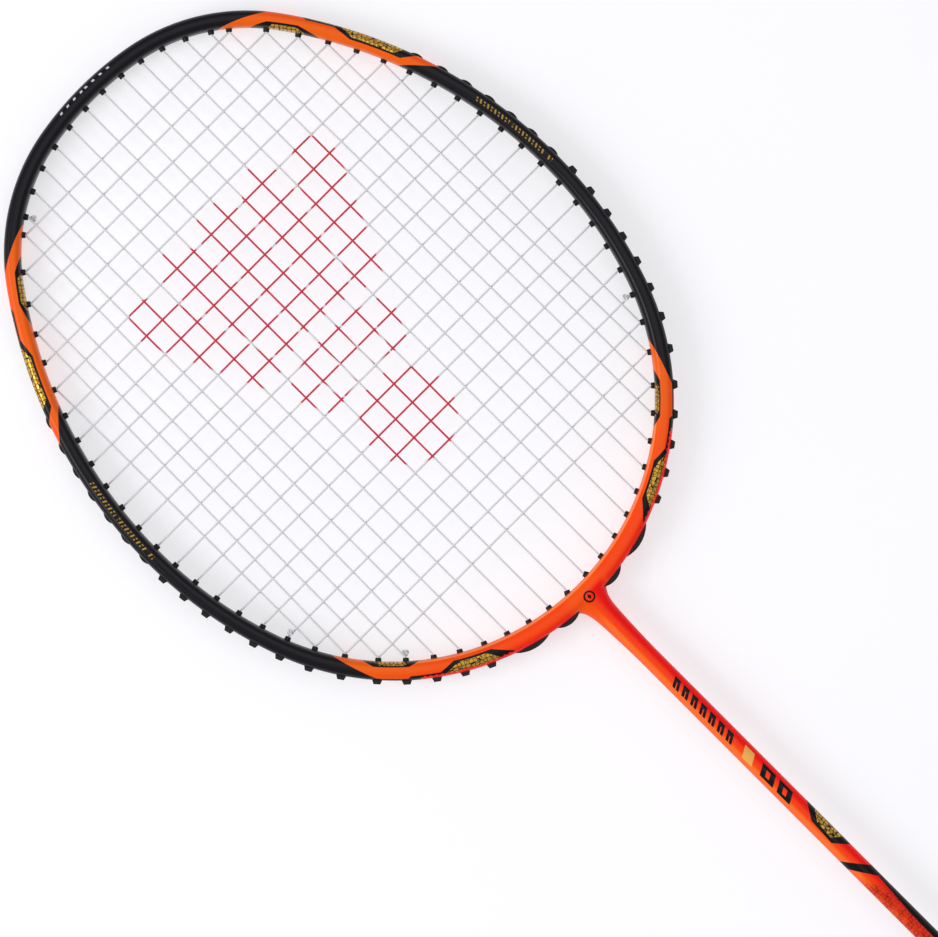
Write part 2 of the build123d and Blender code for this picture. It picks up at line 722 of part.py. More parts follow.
with BuildPart() as shaft_pin:
    with Locations((PIN_X, 0, 0)):
        Cylinder(PIN_DIAMETER / 2, PIN_LENGTH)
save(shaft_pin, "shaft_pin")

with BuildPart() as cone_cap:
    with BuildSketch(Plane.XZ):
        with BuildLine():
            base_x = HANDLE_LENGTH - TENON_LENGTH
            top_x = base_x + CONE_LENGTH
            base_r, top_r = CONE_BASE_DIAMETER / 2, CONE_TOP_DIAMETER / 2
            Line((base_x, 0), (base_x, base_r))
            Spline(
                (base_x, base_r),
                (base_x + CONE_LENGTH / 2, (base_r + top_r) / 2 - CONE_BULGE),
                (top_x, top_r),
                tangents=((1, -0.1), (1, -0.06)),
            )
            Line((top_x, top_r), (top_x, 0))
            Line((top_x, 0), (base_x, 0))
        make_face()
    revolve(axis=Axis.X)
    fillet(cone_cap.faces().sort_by(Axis.X)[-1].edges(), CONE_TOP_ROUND)
    with BuildSketch(across(base_x)):
        Circle(TENON_DIAMETER / 2 + INNER_FIT)
    extrude(amount=TENON_LENGTH + INNER_FIT, mode=Mode.SUBTRACT)
    with BuildSketch(across(base_x)):
        Circle(SHAFT_RADIUS + SHAFT_BORE_FIT)
    extrude(amount=CONE_LENGTH, mode=Mode.SUBTRACT)
save(cone_cap, "cone_cap")

with BuildPart() as butt_cap:
    add(prism(0.0, BUTT_RIM, BUTT_SKIRT + BUTT_FLARE))
    add(prism(BUTT_RIM, BUTT_LENGTH, BUTT_SKIRT + BUTT_FLARE, BUTT_SKIRT))
    add(prism(CORE_START, BUTT_LENGTH, GRIP_FIT), mode=Mode.SUBTRACT)
    with BuildSketch(across(0.0)):
        Ellipse(BADGE_WIDTH / 2 + INNER_FIT, BADGE_HEIGHT / 2 + INNER_FIT)
    extrude(amount=BADGE_THICKNESS + INNER_FIT, mode=Mode.SUBTRACT)
    for side in SIDES:
        seat = Plane(origin=(BRAD_PLACE, side * CORE_WIDTH / 2, 0), z_dir=(0, side, 0))
        with Locations(seat):
            Cylinder(BRAD_HEAD_DIAMETER / 2 + INNER_FIT, 2 * GRIP_THICKNESS, mode=Mode.SUBTRACT)
save(butt_cap, "butt_cap")

with BuildPart() as butt_badge:
    with BuildSketch(across(0.0)):
        Ellipse(BADGE_WIDTH / 2, BADGE_HEIGHT / 2)
    extrude(amount=BADGE_THICKNESS)
save(butt_badge, "butt_badge")

with BuildPart() as butt_brads:
    for side in SIDES:
        head = Plane(origin=(BRAD_PLACE, side * (CORE_WIDTH / 2 + GRIP_FIT), 0), z_dir=(0, side, 0))
        with BuildSketch(head):
            Circle(BRAD_HEAD_DIAMETER / 2)
        extrude(amount=BRAD_HEAD_THICKNESS)
        with BuildSketch(head):
            Circle(BRAD_DIAMETER / 2)
        extrude(amount=-BRAD_LENGTH)
save(butt_brads, "butt_brads")

GRIP_OUT = GRIP_THICKNESS + GRIP_FIT
with BuildPart() as base_grip:
    butt_out = BUTT_SKIRT + BUTT_FLARE + GRIP_OUT
    add(prism(BUTT_RIM, BUTT_LENGTH, butt_out, BUTT_SKIRT + GRIP_OUT))
    add(prism(BUTT_LENGTH, GRIP_END, BUTT_SKIRT + GRIP_OUT, GRIP_OUT))
    add(prism(BUTT_RIM, BUTT_LENGTH, butt_out - GRIP_THICKNESS, BUTT_SKIRT + GRIP_FIT), mode=Mode.SUBTRACT)
    add(prism(BUTT_LENGTH, GRIP_END, BUTT_SKIRT + GRIP_FIT, GRIP_FIT), mode=Mode.SUBTRACT)
save(base_grip, "base_grip")

with BuildPart() as finishing_tape:
    tape_start = GRIP_END - TAPE_WIDTH
    share = TAPE_WIDTH / (GRIP_END - BUTT_LENGTH)
    start_grow = GRIP_OUT + BUTT_SKIRT * share + GRIP_FIT
    end_grow = GRIP_OUT + GRIP_FIT
    add(prism(tape_start, GRIP_END, start_grow + TAPE_THICKNESS, end_grow + TAPE_THICKNESS))
    add(prism(tape_start, GRIP_END, start_grow, end_grow), mode=Mode.SUBTRACT)
save(finishing_tape, "finishing_tape")
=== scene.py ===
import logging
import math
from abc import ABC, abstractmethod
from collections.abc import Callable, Mapping, Sequence
from dataclasses import dataclass, field
from enum import Enum

import bpy
import numpy as np
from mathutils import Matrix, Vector


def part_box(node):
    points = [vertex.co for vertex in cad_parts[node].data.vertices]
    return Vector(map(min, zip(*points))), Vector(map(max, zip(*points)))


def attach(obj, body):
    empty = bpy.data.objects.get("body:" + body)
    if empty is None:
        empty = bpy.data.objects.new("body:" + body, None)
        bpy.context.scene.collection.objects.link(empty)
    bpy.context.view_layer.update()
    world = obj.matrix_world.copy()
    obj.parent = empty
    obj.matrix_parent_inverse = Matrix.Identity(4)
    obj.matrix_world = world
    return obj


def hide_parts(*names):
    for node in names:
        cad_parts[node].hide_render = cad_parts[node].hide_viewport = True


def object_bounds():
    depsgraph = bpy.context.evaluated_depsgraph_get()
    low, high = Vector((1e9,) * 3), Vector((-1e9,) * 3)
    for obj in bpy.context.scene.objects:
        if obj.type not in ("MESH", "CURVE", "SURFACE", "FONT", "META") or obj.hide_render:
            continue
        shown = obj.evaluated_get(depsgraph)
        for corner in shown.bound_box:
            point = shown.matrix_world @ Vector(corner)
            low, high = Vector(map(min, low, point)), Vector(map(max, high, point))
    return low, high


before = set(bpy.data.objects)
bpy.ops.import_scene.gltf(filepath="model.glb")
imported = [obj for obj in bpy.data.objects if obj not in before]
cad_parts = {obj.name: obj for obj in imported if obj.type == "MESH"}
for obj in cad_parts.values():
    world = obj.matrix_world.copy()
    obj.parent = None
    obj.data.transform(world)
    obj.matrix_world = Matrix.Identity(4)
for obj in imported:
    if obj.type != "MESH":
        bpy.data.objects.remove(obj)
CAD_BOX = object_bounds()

LOG = logging.getLogger("racket")
MM = 0.001
FULL_TURN = 2 * math.pi
SIDES = (1, -1)

Array = np.ndarray
Colour = tuple[float, float, float, float]
Material = bpy.types.Material
Piece = bpy.types.Object


def tone(red: float, green: float, blue: float) -> Colour:
    """Scene colour of a display colour: each channel is raised out of the display curve.

    Args:
        red, green, blue: display values from 0 to 255.

    Returns:
        Linear red, green, blue and an alpha of one.
    """
    shares = np.array([red, green, blue]) / 255
    linear = np.where(shares <= 0.04045, shares / 12.92, ((shares + 0.055) / 1.055) ** 2.4)
    return (*[float(value) for value in linear], 1.0)


def smoothstep(value: Array) -> Array:
    """Three squares less two cubes of the value kept between 0 and 1."""
    share = np.clip(value, 0.0, 1.0)
    return share * share * (3 - 2 * share)


# ------------------------------------------------------------------------------------------ shader maths
def operator(operation: str) -> Callable[..., "Signal"]:
    """Method that adds a Math node of that operation to a signal."""

    def method(signal: "Signal", *others: "Signal | float") -> "Signal":
        """Put the signal and the others through the node."""
        return signal.maths(operation, *others)

    return method


class Signal:
    """A shader socket that can be written in expressions; each operator adds its own Math node.

    On masks, & takes the least and | the greatest.
    """

    __add__ = __radd__ = operator("ADD")
    __mul__ = __rmul__ = operator("MULTIPLY")
    __sub__ = operator("SUBTRACT")
    __truediv__ = operator("DIVIDE")
    __abs__ = operator("ABSOLUTE")
    __and__ = operator("MINIMUM")
    __or__ = operator("MAXIMUM")
    fraction = operator("FRACT")
    sine = operator("SINE")
    root = operator("SQRT")

    def __init__(self, graph: "Graph", socket: bpy.types.NodeSocket) -> None:
        """Keep the graph that the socket belongs to."""
        self.graph = graph
        self.socket = socket

    def maths(self, operation: str, *others: "Signal | float") -> "Signal":
        """Math node on this signal and the others.

        Args:
            operation: the Math node's operation.
            others: the second and third operands.

        Returns:
            The node's value.
        """
        inputs = dict(enumerate((self, *others)))
        return self.graph.node("ShaderNodeMath", {"operation": operation}, inputs)

    def __rsub__(self, other: float) -> "Signal":
        """Difference from a number."""
        return self.maths("MULTIPLY_ADD", -1.0, other)

    def step(self, low: float, high: float) -> "Signal":
        """Smooth rise from 0 at low to 1 at high, or a fall where low is the larger.

        Args:
            low, high: values where the change starts and ends.

        Returns:
            The kept and smoothed share.
        """
        reverse = low > high
        ends = {"From Min": min(low, high), "From Max": max(low, high)}
        ends |= {"To Min": float(reverse), "To Max": float(not reverse)}
        settings = {"interpolation_type": "SMOOTHSTEP", "clamp": True}
        return self.graph.node("ShaderNodeMapRange", settings, {"Value": self} | ends)

    def within(self, low: float, high: float, soft: float) -> "Signal":
        """One between low and high, with soft edges of that width."""
        return self.step(low - soft, low + soft) & self.step(high + soft, high - soft)


class Graph:
    """The node tree of one material. Every node comes from its node method."""

    def __init__(self, name: str) -> None:
        """Start an empty material of that name."""
        self.material = bpy.data.materials.new(name)
        self.material.use_nodes = True
        self.tree = self.material.node_tree
        self.tree.nodes.clear()

    def node(
        self,
        kind: str,
        settings: Mapping[str, object] | None = None,
        inputs: Mapping[str | int, object] | None = None,
        output: str | int = 0,
    ) -> Signal:
        """Make a node, set it up and link it.

        Args:
            kind: the node's type.
            settings: the node's own settings, which are set first.
            inputs: a value or signal for each socket, by name or place.
            output: the socket that is returned.

        Returns:
            The wanted output.
        """
        made = self.tree.nodes.new(kind)
        for key, value in (settings or {}).items():
            setattr(made, key, value)
        for key, value in (inputs or {}).items():
            if isinstance(value, Signal):
                self.tree.links.new(value.socket, made.inputs[key])
            else:
                made.inputs[key].default_value = value
        found = made.outputs[output] if len(made.outputs) else made.inputs[0]
        return Signal(self, found)

    def attribute(self, name: str) -> Signal:
        """Number that the mesh keeps under that name."""
        return self.node("ShaderNodeAttribute", {"attribute_name": name}, output="Fac")

    def place(self) -> Signal:
        """Object coordinates in millimetres."""
        coordinates = self.node("ShaderNodeTexCoord", output="Object")
        return self.node(
            "ShaderNodeVectorMath", {"operation": "SCALE"}, {0: coordinates, "Scale": 1 / MM}
        )

    def axes(self, vector: Signal) -> tuple[Signal, Signal, Signal]:
        """The three parts of a vector."""
        parts = self.node("ShaderNodeSeparateXYZ", inputs={0: vector}).socket.node
        return tuple(Signal(self, parts.outputs[place]) for place in range(3))

    def point(self, x: Signal | float, y: Signal | float, z: Signal | float) -> Signal:
        """Vector of three parts."""
        return self.node("ShaderNodeCombineXYZ", inputs={0: x, 1: y, 2: z})

    def noise(self, vector: Signal, scale: float, detail: float = 3.0) -> Signal:
        """Soft noise about one half."""
        settings = {"noise_dimensions": "3D"}
        return self.node(
            "ShaderNodeTexNoise", settings, {"Vector": vector, "Scale": scale, "Detail": detail}
        )

    def cells(self, vector: Signal, scale: float, evenness: float) -> Signal:
        """Distance to the nearest border of irregular cells."""
        settings = {"feature": "DISTANCE_TO_EDGE", "voronoi_dimensions": "3D"}
        inputs = {"Vector": vector, "Scale": scale, "Randomness": evenness}
        return self.node("ShaderNodeTexVoronoi", settings, inputs)

    def blend(self, share: Signal | float, under: object, over: object) -> Signal:
        """Colour that goes from under to over as share goes from 0 to 1."""
        settings = {"data_type": "RGBA"}
        return self.node("ShaderNodeMix", settings, {0: share, 6: under, 7: over}, 2)

    def drawn(self, vector: Signal, scale: tuple[float, float, float]) -> Signal:
        """Vector stretched along each axis, for grain that runs one way."""
        return self.node("ShaderNodeMapping", inputs={"Vector": vector, "Scale": scale})

    def relief(self, height: Signal, distance: float, strength: float = 0.6) -> Signal:
        """Normal of a bumpy surface.

        Args:
            height: relief from 0 to 1.
            distance: depth that a height of one stands for, in metres.
            strength: share of the effect.

        Returns:
            The bumped normal.
        """
        inputs = {"Height": height, "Distance": distance, "Strength": strength}
        return self.node("ShaderNodeBump", inputs=inputs)

    def surface(self, **inputs: object) -> Material:
        """Close the material with one Principled surface.

        Args:
            inputs: values or signals by socket name, with _ for a space.

        Returns:
            The finished material.
        """
        spaced = {key.replace("_", " "): value for key, value in inputs.items()}
        named = {key.replace("ior level", "IOR Level"): value for key, value in spaced.items()}
        shader = self.node("ShaderNodeBsdfPrincipled", inputs=named)
        self.node("ShaderNodeOutputMaterial", inputs={"Surface": shader})
        return self.material


class PaintPlan:
    """A flat plan of two signals in millimetres, on which straight-sided patches are masked."""

    def __init__(self, graph: Graph, first: Signal, second: Signal) -> None:
        """Keep the plan's two coordinates, with a one for the constants of the edges."""
        self.graph = graph
        self.spot = graph.point(first, second, 1.0)

    def patch(self, corners: Sequence[tuple[float, float]], soft: float = 0.07) -> Signal:
        """Mask of a convex patch: the least distance inside its edges, softened at zero.

        Args:
            corners: the patch's corners in order.
            soft: half the width of the soft edge.

        Returns:
            One inside and zero outside.
        """
        points = np.array(corners, float)
        centre = points.mean(axis=0)
        inside = None
        for start, end in zip(points, np.roll(points, -1, axis=0)):
            normal = np.array([end[1] - start[1], start[0] - end[0]])
            normal /= np.linalg.norm(normal)
            normal *= np.sign(normal @ (centre - start))
            edge = (float(normal[0]), float(normal[1]), float(-normal @ start))
            depth = self.graph.node(
                "ShaderNodeVectorMath", {"operation": "DOT_PRODUCT"}, {0: self.spot, 1: edge}, "Value"
            )
            inside = depth if inside is None else inside & depth
        return inside.step(-soft, soft)


# ------------------------------------------------------------------------------------------ finishes
class Finish(ABC):
    """A finish that can make its Blender material."""

    @abstractmethod
    def material(self) -> Material:
        """Build the material."""


@dataclass(frozen=True)
class RacketColours:
    """Colours of the lacquer and its trim."""

    black: Colour = tone(11, 10, 16)
    deep_black: Colour = tone(9, 7, 7)
    orange: Colour = tone(248, 82, 0)
    ribbon_orange: Colour = tone(238, 98, 0)
    # Lighter orange for painted highlights.
    highlight_orange: Colour = tone(255, 146, 70)
    # Red for the printed teeth, and for painted shade on the ribbons and the shaft.
    red: Colour = tone(248, 10, 0)
    gold: Colour = tone(208, 162, 62)
    dark_gold: Colour = tone(140, 102, 34)
    white: Colour = tone(212, 212, 216)


@dataclass(frozen=True)
class ThroatPaintAndShade:
    """Paint and painted shade that the hoop and the shaft share where they meet, on Object coordinates in
    millimetres.
    """

    hoop_back: float = 425.3
    shaft_half: float = 3.5
    wing: float = 3.4
    wing_decay: float = 3.4
    mark_x: float = 426.9

    def shade_redness(self, x: Signal, y: Signal) -> Signal:
        """Share of red painted shade down the -Y side, the side away from the light: Y over a half width that
        grows towards the hoop.

        Args:
            x, y: place in millimetres.

        Returns:
            One where the paint is red.
        """
        growth = (x - self.hoop_back) / self.wing_decay
        half = growth.maths("MINIMUM", 0.0).maths("EXPONENT") * self.wing + self.shaft_half
        return (y / half).step(0.6, -0.6)

    def mark(self, graph: Graph, x: Signal, y: Signal) -> Signal:
        """Mask of a plain ring round a diamond.

        Args:
            graph: the material's graph.
            x, y: place in millimetres.

        Returns:
            One where there is ink.
        """
        run = x - self.mark_x
        radius = (run * run + y * y).root()
        ring = radius.within(1.45, 2.1, 0.06)
        plan = PaintPlan(graph, run, y)
        diamond = plan.patch([(-1.0, 0.0), (0.0, -0.7), (1.0, 0.0), (0.0, 0.7)], 0.06)
        return ring | diamond


@dataclass(frozen=True)
class Lacquer(Finish):
    """What the hoop's and the shaft's lacquers share: orange ground, gold scales and the thin coat."""

    colours: RacketColours = RacketColours()
    flame: Colour = tone(238, 70, 0)
    scales_per_mm: tuple[float, float] = (0.66, 0.98)
    scale_disorder: float = 0.5
    gilt_metal: float = 0.55

    def ground(self, graph: Graph, place: Signal, orange: object) -> Signal:
        """Orange that is slightly clouded with a deeper one."""
        return graph.blend(graph.noise(place, 0.05, 2.0) * 0.25, orange, self.flame)

    def scales(self, graph: Graph, first: Signal, second: Signal) -> tuple[Signal, Signal]:
        """Gold scales on the dark ground that outlines them.

        Args:
            graph: the material's graph.
            first, second: the plan's coordinates in millimetres.

        Returns:
            The mask of the scales' faces and the colour of scales and outlines.
        """
        c = self.colours
        spot = graph.point(first * self.scales_per_mm[0], second * self.scales_per_mm[1], 0.0)
        face = graph.cells(spot, 1.0, self.scale_disorder).step(0.045, 0.11)
        gilt = graph.blend(graph.noise(spot, 1.4, 1.0).step(0.25, 0.6), c.dark_gold, c.gold)
        return face, graph.blend(face, c.deep_black, gilt)

    def coat(
        self,
        graph: Graph,
        place: Signal,
        coloured: Signal,
        raised: Signal,
        gilded: Signal,
        polish: Signal | float = 0.0,
    ) -> Material:
        """Close the lacquer under its thin clear coat.

        Args:
            graph: the material's graph.
            place: place in millimetres.
            coloured: the paint's colour.
            raised: how far the paint's layers stand up.
            gilded: mask of the gold leaf.
            polish: what the roughness loses.

        Returns:
            The finished material.
        """
        return graph.surface(
            Base_Color=coloured,
            Roughness=0.30 + graph.noise(place, 0.12, 3.0) * 0.08 - polish,
            Metallic=gilded * self.gilt_metal,
            Normal=graph.relief(graph.noise(place, 0.6, 2.0) * 0.5 + raised, 0.00003),
            Coat_Weight=0.10,
            Coat_Roughness=0.18,
            Specular_ior_level=0.12,
        )


@dataclass(frozen=True)
class HoopLacquer(Lacquer):
    """Black lacquer with orange ribbons, gold scaled panels, a red lower edge and painted shade that reddens
    the ribbons towards their outer edge.

    The plan's first coordinate is the distance from the tip along the tube, and its second goes from
    the inner edge, below zero, to the outer edge.
    """

    half_tube: float = 3.05
    edge: float = 3.9
    charcoal: Colour = tone(24, 22, 33)
    tick_gold: Colour = tone(182, 142, 50)
    teeth_per_mm: float = 0.5
    tooth_height: float = 0.32
    tick_slant: float = 0.35
    ticks_per_mm: float = 0.66
    words_per_mm: float = 0.062
    ticks: tuple[float, float] = (147.0, 181.0)
    tick_band: tuple[float, float] = (-0.26, 0.22)
    dashes_per_mm: float = 0.3
    dashes: tuple[float, float] = (-2.0, 13.6)
    dash_band: tuple[float, float] = (0.3, 0.52)

    def strip(self, ends: tuple[float, float], sides: tuple[float, float]) -> list[tuple[float, float]]:
        """Corners of a strip between two distances along the tube and two shares of its half width."""
        low, high = (side * self.half_tube for side in sides)
        return [(ends[0], low), (ends[0], high), (ends[1], high), (ends[1], low)]

    def ribbon_corners(self) -> list[list[tuple[float, float]]]:
        """Corners of the two orange ribbons."""
        e = self.edge
        return [
            [(49.4, -e), (73.2, e), (133.5, e), (116.0, -e)],
            [(250.6, -e), (273.2, e), (352.0, e), (352.0, -e)],
        ]

    def black_corners(self) -> list[list[tuple[float, float]]]:
        """Corners of the black patches on the ribbons."""
        e, h = self.edge, self.half_tube
        return [
            [(61.5, -e), (69.5, -0.28 * h), (80.5, -0.2 * h), (91.0, -e)],
            [(79.0, e), (83.0, 0.62 * h), (98.0, 0.62 * h), (98.0, e)],
            [(262.0, e), (267.0, 0.74 * h), (279.0, 0.74 * h), (279.0, e)],
            [(88.0, e), (99.0, -0.24 * h), (117.5, -0.2 * h), (124.5, e)],
            [(262.0, -e), (267.9, -0.45 * h), (280.4, -0.45 * h), (286.6, -e)],
            [(277.0, e), (280.4, 0.5 * h), (298.0, 0.4 * h), (298.0, e)],
            [(285.5, e), (296.0, -0.42 * h), (309.7, -0.42 * h), (321.5, e)],
        ]

    def gold_corners(self) -> list[list[tuple[float, float]]]:
        """Corners of the gold panels inside the black patches."""
        e, h = self.edge, self.half_tube
        return [
            [(69.0, -e), (71.5, -0.52 * h), (80.8, -0.46 * h), (84.4, -e)],
            [(83.5, 0.98 * h), (84.5, 0.84 * h), (94.0, 0.84 * h), (94.0, 0.98 * h)],
            [(92.8, e), (99.6, 0.04 * h), (114.6, 0.02 * h), (119.2, e)],
            [(267.0, -e), (270.0, -0.6 * h), (279.0, -0.6 * h), (282.6, -e)],
            [(282.0, 0.96 * h), (283.5, 0.76 * h), (291.0, 0.72 * h), (291.0, 0.96 * h)],
            [(290.6, 0.94 * h), (297.4, -0.2 * h), (307.8, -0.2 * h), (312.8, 0.94 * h)],
        ]

    def material(self) -> Material:
        """Build the lacquer."""
        c, h = self.colours, self.half_tube
        graph = Graph("hoop_lacquer")
        along, across = graph.attribute("along"), graph.attribute("across")
        side = across * h
        plan = PaintPlan(graph, along, side)
        place = graph.place()
        x, y, _ = graph.axes(place)

        def union(patches: list[list[tuple[float, float]]]) -> Signal:
            """One mask of several patches."""
            masks = [plan.patch(corners) for corners in patches]
            whole = masks[0]
            for mask in masks[1:]:
                whole = whole | mask
            return whole

        ribbon, black, gold = map(union, (self.ribbon_corners(), self.black_corners(), self.gold_corners()))
        flecks = graph.noise(place, 14.0, 2.0)
        charcoal = graph.blend(flecks.step(0.35, 0.8) * 0.5, c.black, self.charcoal)

        # Painted shade: the ribbon's orange deepens to red on its outer edge, the side away from the light,
        # most of all low on the hoop.
        throat = ThroatPaintAndShade()
        low = along.step(262.0, 318.0)
        clear_of_shaft = abs(y).step(5.0, 10.5)
        outer_shade_red = across.step(-0.25, 0.9) * (0.26 + low * 0.7) | low * 0.3
        near_shade_red = throat.shade_redness(x, y) * across.step(-0.35, 0.45)
        orange = self.ground(graph, place, graph.blend(low, c.ribbon_orange, c.orange))
        orange = graph.blend(outer_shade_red * clear_of_shaft | near_shade_red * (1 - clear_of_shaft), orange, c.red)
        # Painted highlight: a light orange line along the inner edge, low on the hoop.
        inner_highlight = across.within(-0.92, -0.74, 0.05) * along.step(250.0, 290.0)
        orange = graph.blend(inner_highlight * 0.75, orange, c.highlight_orange)

        face, gilt = self.scales(graph, along, side)

        # A margin of small teeth along the outer edge of the lower panel.
        tooth = abs((along * self.teeth_per_mm).fraction() - 0.5)
        margin = plan.patch([(283.0, 4.2), (285.0, 0.5 * h), (319.0, 0.5 * h), (325.0, 4.2)])
        teeth = margin & (across - tooth * self.tooth_height).step(0.54, 0.6)

        coloured = graph.blend(ribbon, charcoal, orange)
        coloured = graph.blend(black, coloured, c.deep_black)
        coloured = graph.blend(gold, coloured, gilt)
        coloured = graph.blend(teeth, coloured, c.red)

        # Small plain marks: gold ticks beside the widest place and white ones round the tip.
        slanted = (along + side * self.tick_slant) * self.ticks_per_mm
        ticks = slanted.fraction().within(0.26, 0.68, 0.06)
        gap = (along * self.words_per_mm).fraction().step(0.08, 0.11)
        waist = 1 - (slanted * 0.5).fraction().step(0.48, 0.52) * abs(side + 0.1).step(0.3, 0.2)
        tick_band = plan.patch(self.strip(self.ticks, self.tick_band))
        coloured = graph.blend((ticks & gap & waist & tick_band) * 0.85, coloured, self.tick_gold)
        dashes = (along * self.dashes_per_mm + side * 0.1).fraction().within(0.3, 0.62, 0.04)
        dash_band = plan.patch(self.strip(self.dashes, self.dash_band))
        coloured = graph.blend((dashes & dash_band) * 0.85, coloured, c.white)

        coloured = graph.blend(throat.mark(graph, x, y) & along.step(330.0, 333.0), coloured, c.deep_black)

        raised = (ribbon + black * 0.6 + gold * 0.4) * 0.4
        return self.coat(graph, place, coloured, raised, gold & face, gold * 0.05)


@dataclass(frozen=True)
class ShaftLacquer(Lacquer):
    """Orange lacquer with painted shade that turns it red down one side, with black slanted bars and scaled
    facets.
    """

    pale_gold: Colour = tone(236, 170, 84)
    brick: Colour = tone(206, 30, 4)
    dark_brick: Colour = tone(110, 20, 4)
    datum: float = 549.3
    reach: float = 4.6
    slant: float = 0.55
    bar_start: float = 163.4
    bars_per_mm: float = 0.2326
    bars_end: float = 193.0
    bar_half: float = 1.675
    frame_start: float = 206.0
    frames_per_mm: float = 0.122
    frames_end: float = 222.1
    frame_half: float = 1.975
    hollow_half: float = 1.0
    gilt_bar: tuple[float, float] = (197.6, 202.2)
    fade: tuple[float, float] = (318.0, 334.0)
    ring: tuple[float, float] = (336.0, 337.0)

    def tall(self, y: Signal, half: float, soft: float = 0.075) -> Signal:
        """Mask of the strip within that distance of the shaft's middle line."""
        return abs(y).step(half + soft, half - soft)

    def material(self) -> Material:
        """Build the lacquer: distances run from the datum towards the handle."""
        c, r = self.colours, self.reach
        graph = Graph("shaft_lacquer")
        place = graph.place()
        x, y, _ = graph.axes(place)
        run = self.datum - x
        plan = PaintPlan(graph, run, y)

        throat = ThroatPaintAndShade()
        # Painted shade: the -Y side, away from the light, turns red.
        coloured = graph.blend(throat.shade_redness(x, y), self.ground(graph, place, c.orange), c.red)
        # Painted highlight: a lighter band down the +Y side of the shaft, the side facing the light.
        bright = y.within(1.3, 3.0, 0.6) * run.step(126.0, 136.0) * 0.35
        coloured = graph.blend(bright, coloured, c.highlight_orange)

        # Seven small bars, then a gold one and two large ones, all slanted the same way.
        slanted = run - y * self.slant
        step = ((slanted - self.bar_start) * self.bars_per_mm).fraction()
        small = step.within(0.04, 0.70, 0.02) & (1 - (step.within(0.32, 0.42, 0.02) & y.step(-0.4, -0.2)))
        small = small & self.tall(y, self.bar_half)
        small = small & slanted.within(self.bar_start - 0.2, self.bars_end, 0.05)
        step = ((slanted - self.frame_start) * self.frames_per_mm).fraction()
        hollow = step.within(0.30, 0.52, 0.01) & self.tall(y, self.hollow_half, 0.05)
        large = step.within(0.03, 0.80, 0.01) & (1 - hollow) & self.tall(y, self.frame_half)
        large = large & slanted.within(self.frame_start - 0.1, self.frames_end, 0.05)
        gilt_bar = slanted.within(*self.gilt_bar, 0.06) & self.tall(y, self.frame_half)
        coloured = graph.blend(small | large, coloured, c.deep_black)
        coloured = graph.blend(gilt_bar, coloured, self.pale_gold)

        # A black-edged facet with gold scales on one side, and a slanted band across.
        facet = plan.patch([(223.2, -r), (231.0, 0.45), (241.3, 1.0), (248.0, -r)])
        inside = plan.patch([(227.2, -r), (232.8, -0.65), (239.8, -0.15), (243.8, -r)])
        band = plan.patch([(246.4, r), (250.0, r), (264.0, -r), (258.0, -r)])
        face, gilt = self.scales(graph, run, y)
        stripe_top = run.step(252.0, 284.0) * 1.6 - 2.7
        stripe = (stripe_top - y).step(-0.06, 0.06) & run.step(259.0, 260.0)
        scaled = (run + y * 1.6).step(259.0, 268.0) & (1 - stripe)
        blotch = graph.noise(place, 0.35, 2.0).step(0.35, 0.65)
        coloured = graph.blend(scaled * (0.55 + blotch * 0.35), coloured, self.brick)
        coloured = graph.blend((1 - face) * scaled * (0.35 + blotch * 0.5), coloured, self.dark_brick)
        coloured = graph.blend(facet | band | stripe, coloured, c.deep_black)
        coloured = graph.blend(inside, coloured, gilt)
        coloured = graph.blend(throat.mark(graph, x, y), coloured, c.deep_black)

        # Towards the handle the lacquer fades to black behind a thin gold ring.
        coloured = graph.blend(run.step(*self.fade), coloured, c.deep_black)
        coloured = graph.blend(run.within(*self.ring, 0.1), coloured, c.gold)

        raised = (facet | band | stripe | small | large) * 0.3
        return self.coat(graph, place, coloured, raised, inside & face)


@dataclass(frozen=True)
class Nylon(Finish):
    """Black moulded nylon with a satin skin, a little dusty in patches."""

    body: Colour = tone(10, 10, 11)
    worn: Colour = tone(32, 32, 34)

    def material(self) -> Material:
        """Build the nylon."""
        graph = Graph("grommet_nylon")
        place = graph.place()
        grain = graph.noise(place, 3.5, 4.0)
        dust = graph.noise(place, 0.35, 3.0).step(0.45, 0.8)
        return graph.surface(
            Base_Color=graph.blend(dust * 0.55, self.body, self.worn),
            Roughness=0.42 + grain * 0.2,
            Normal=graph.relief(grain, 0.00005, 0.5),
            Specular_ior_level=0.3,
        )


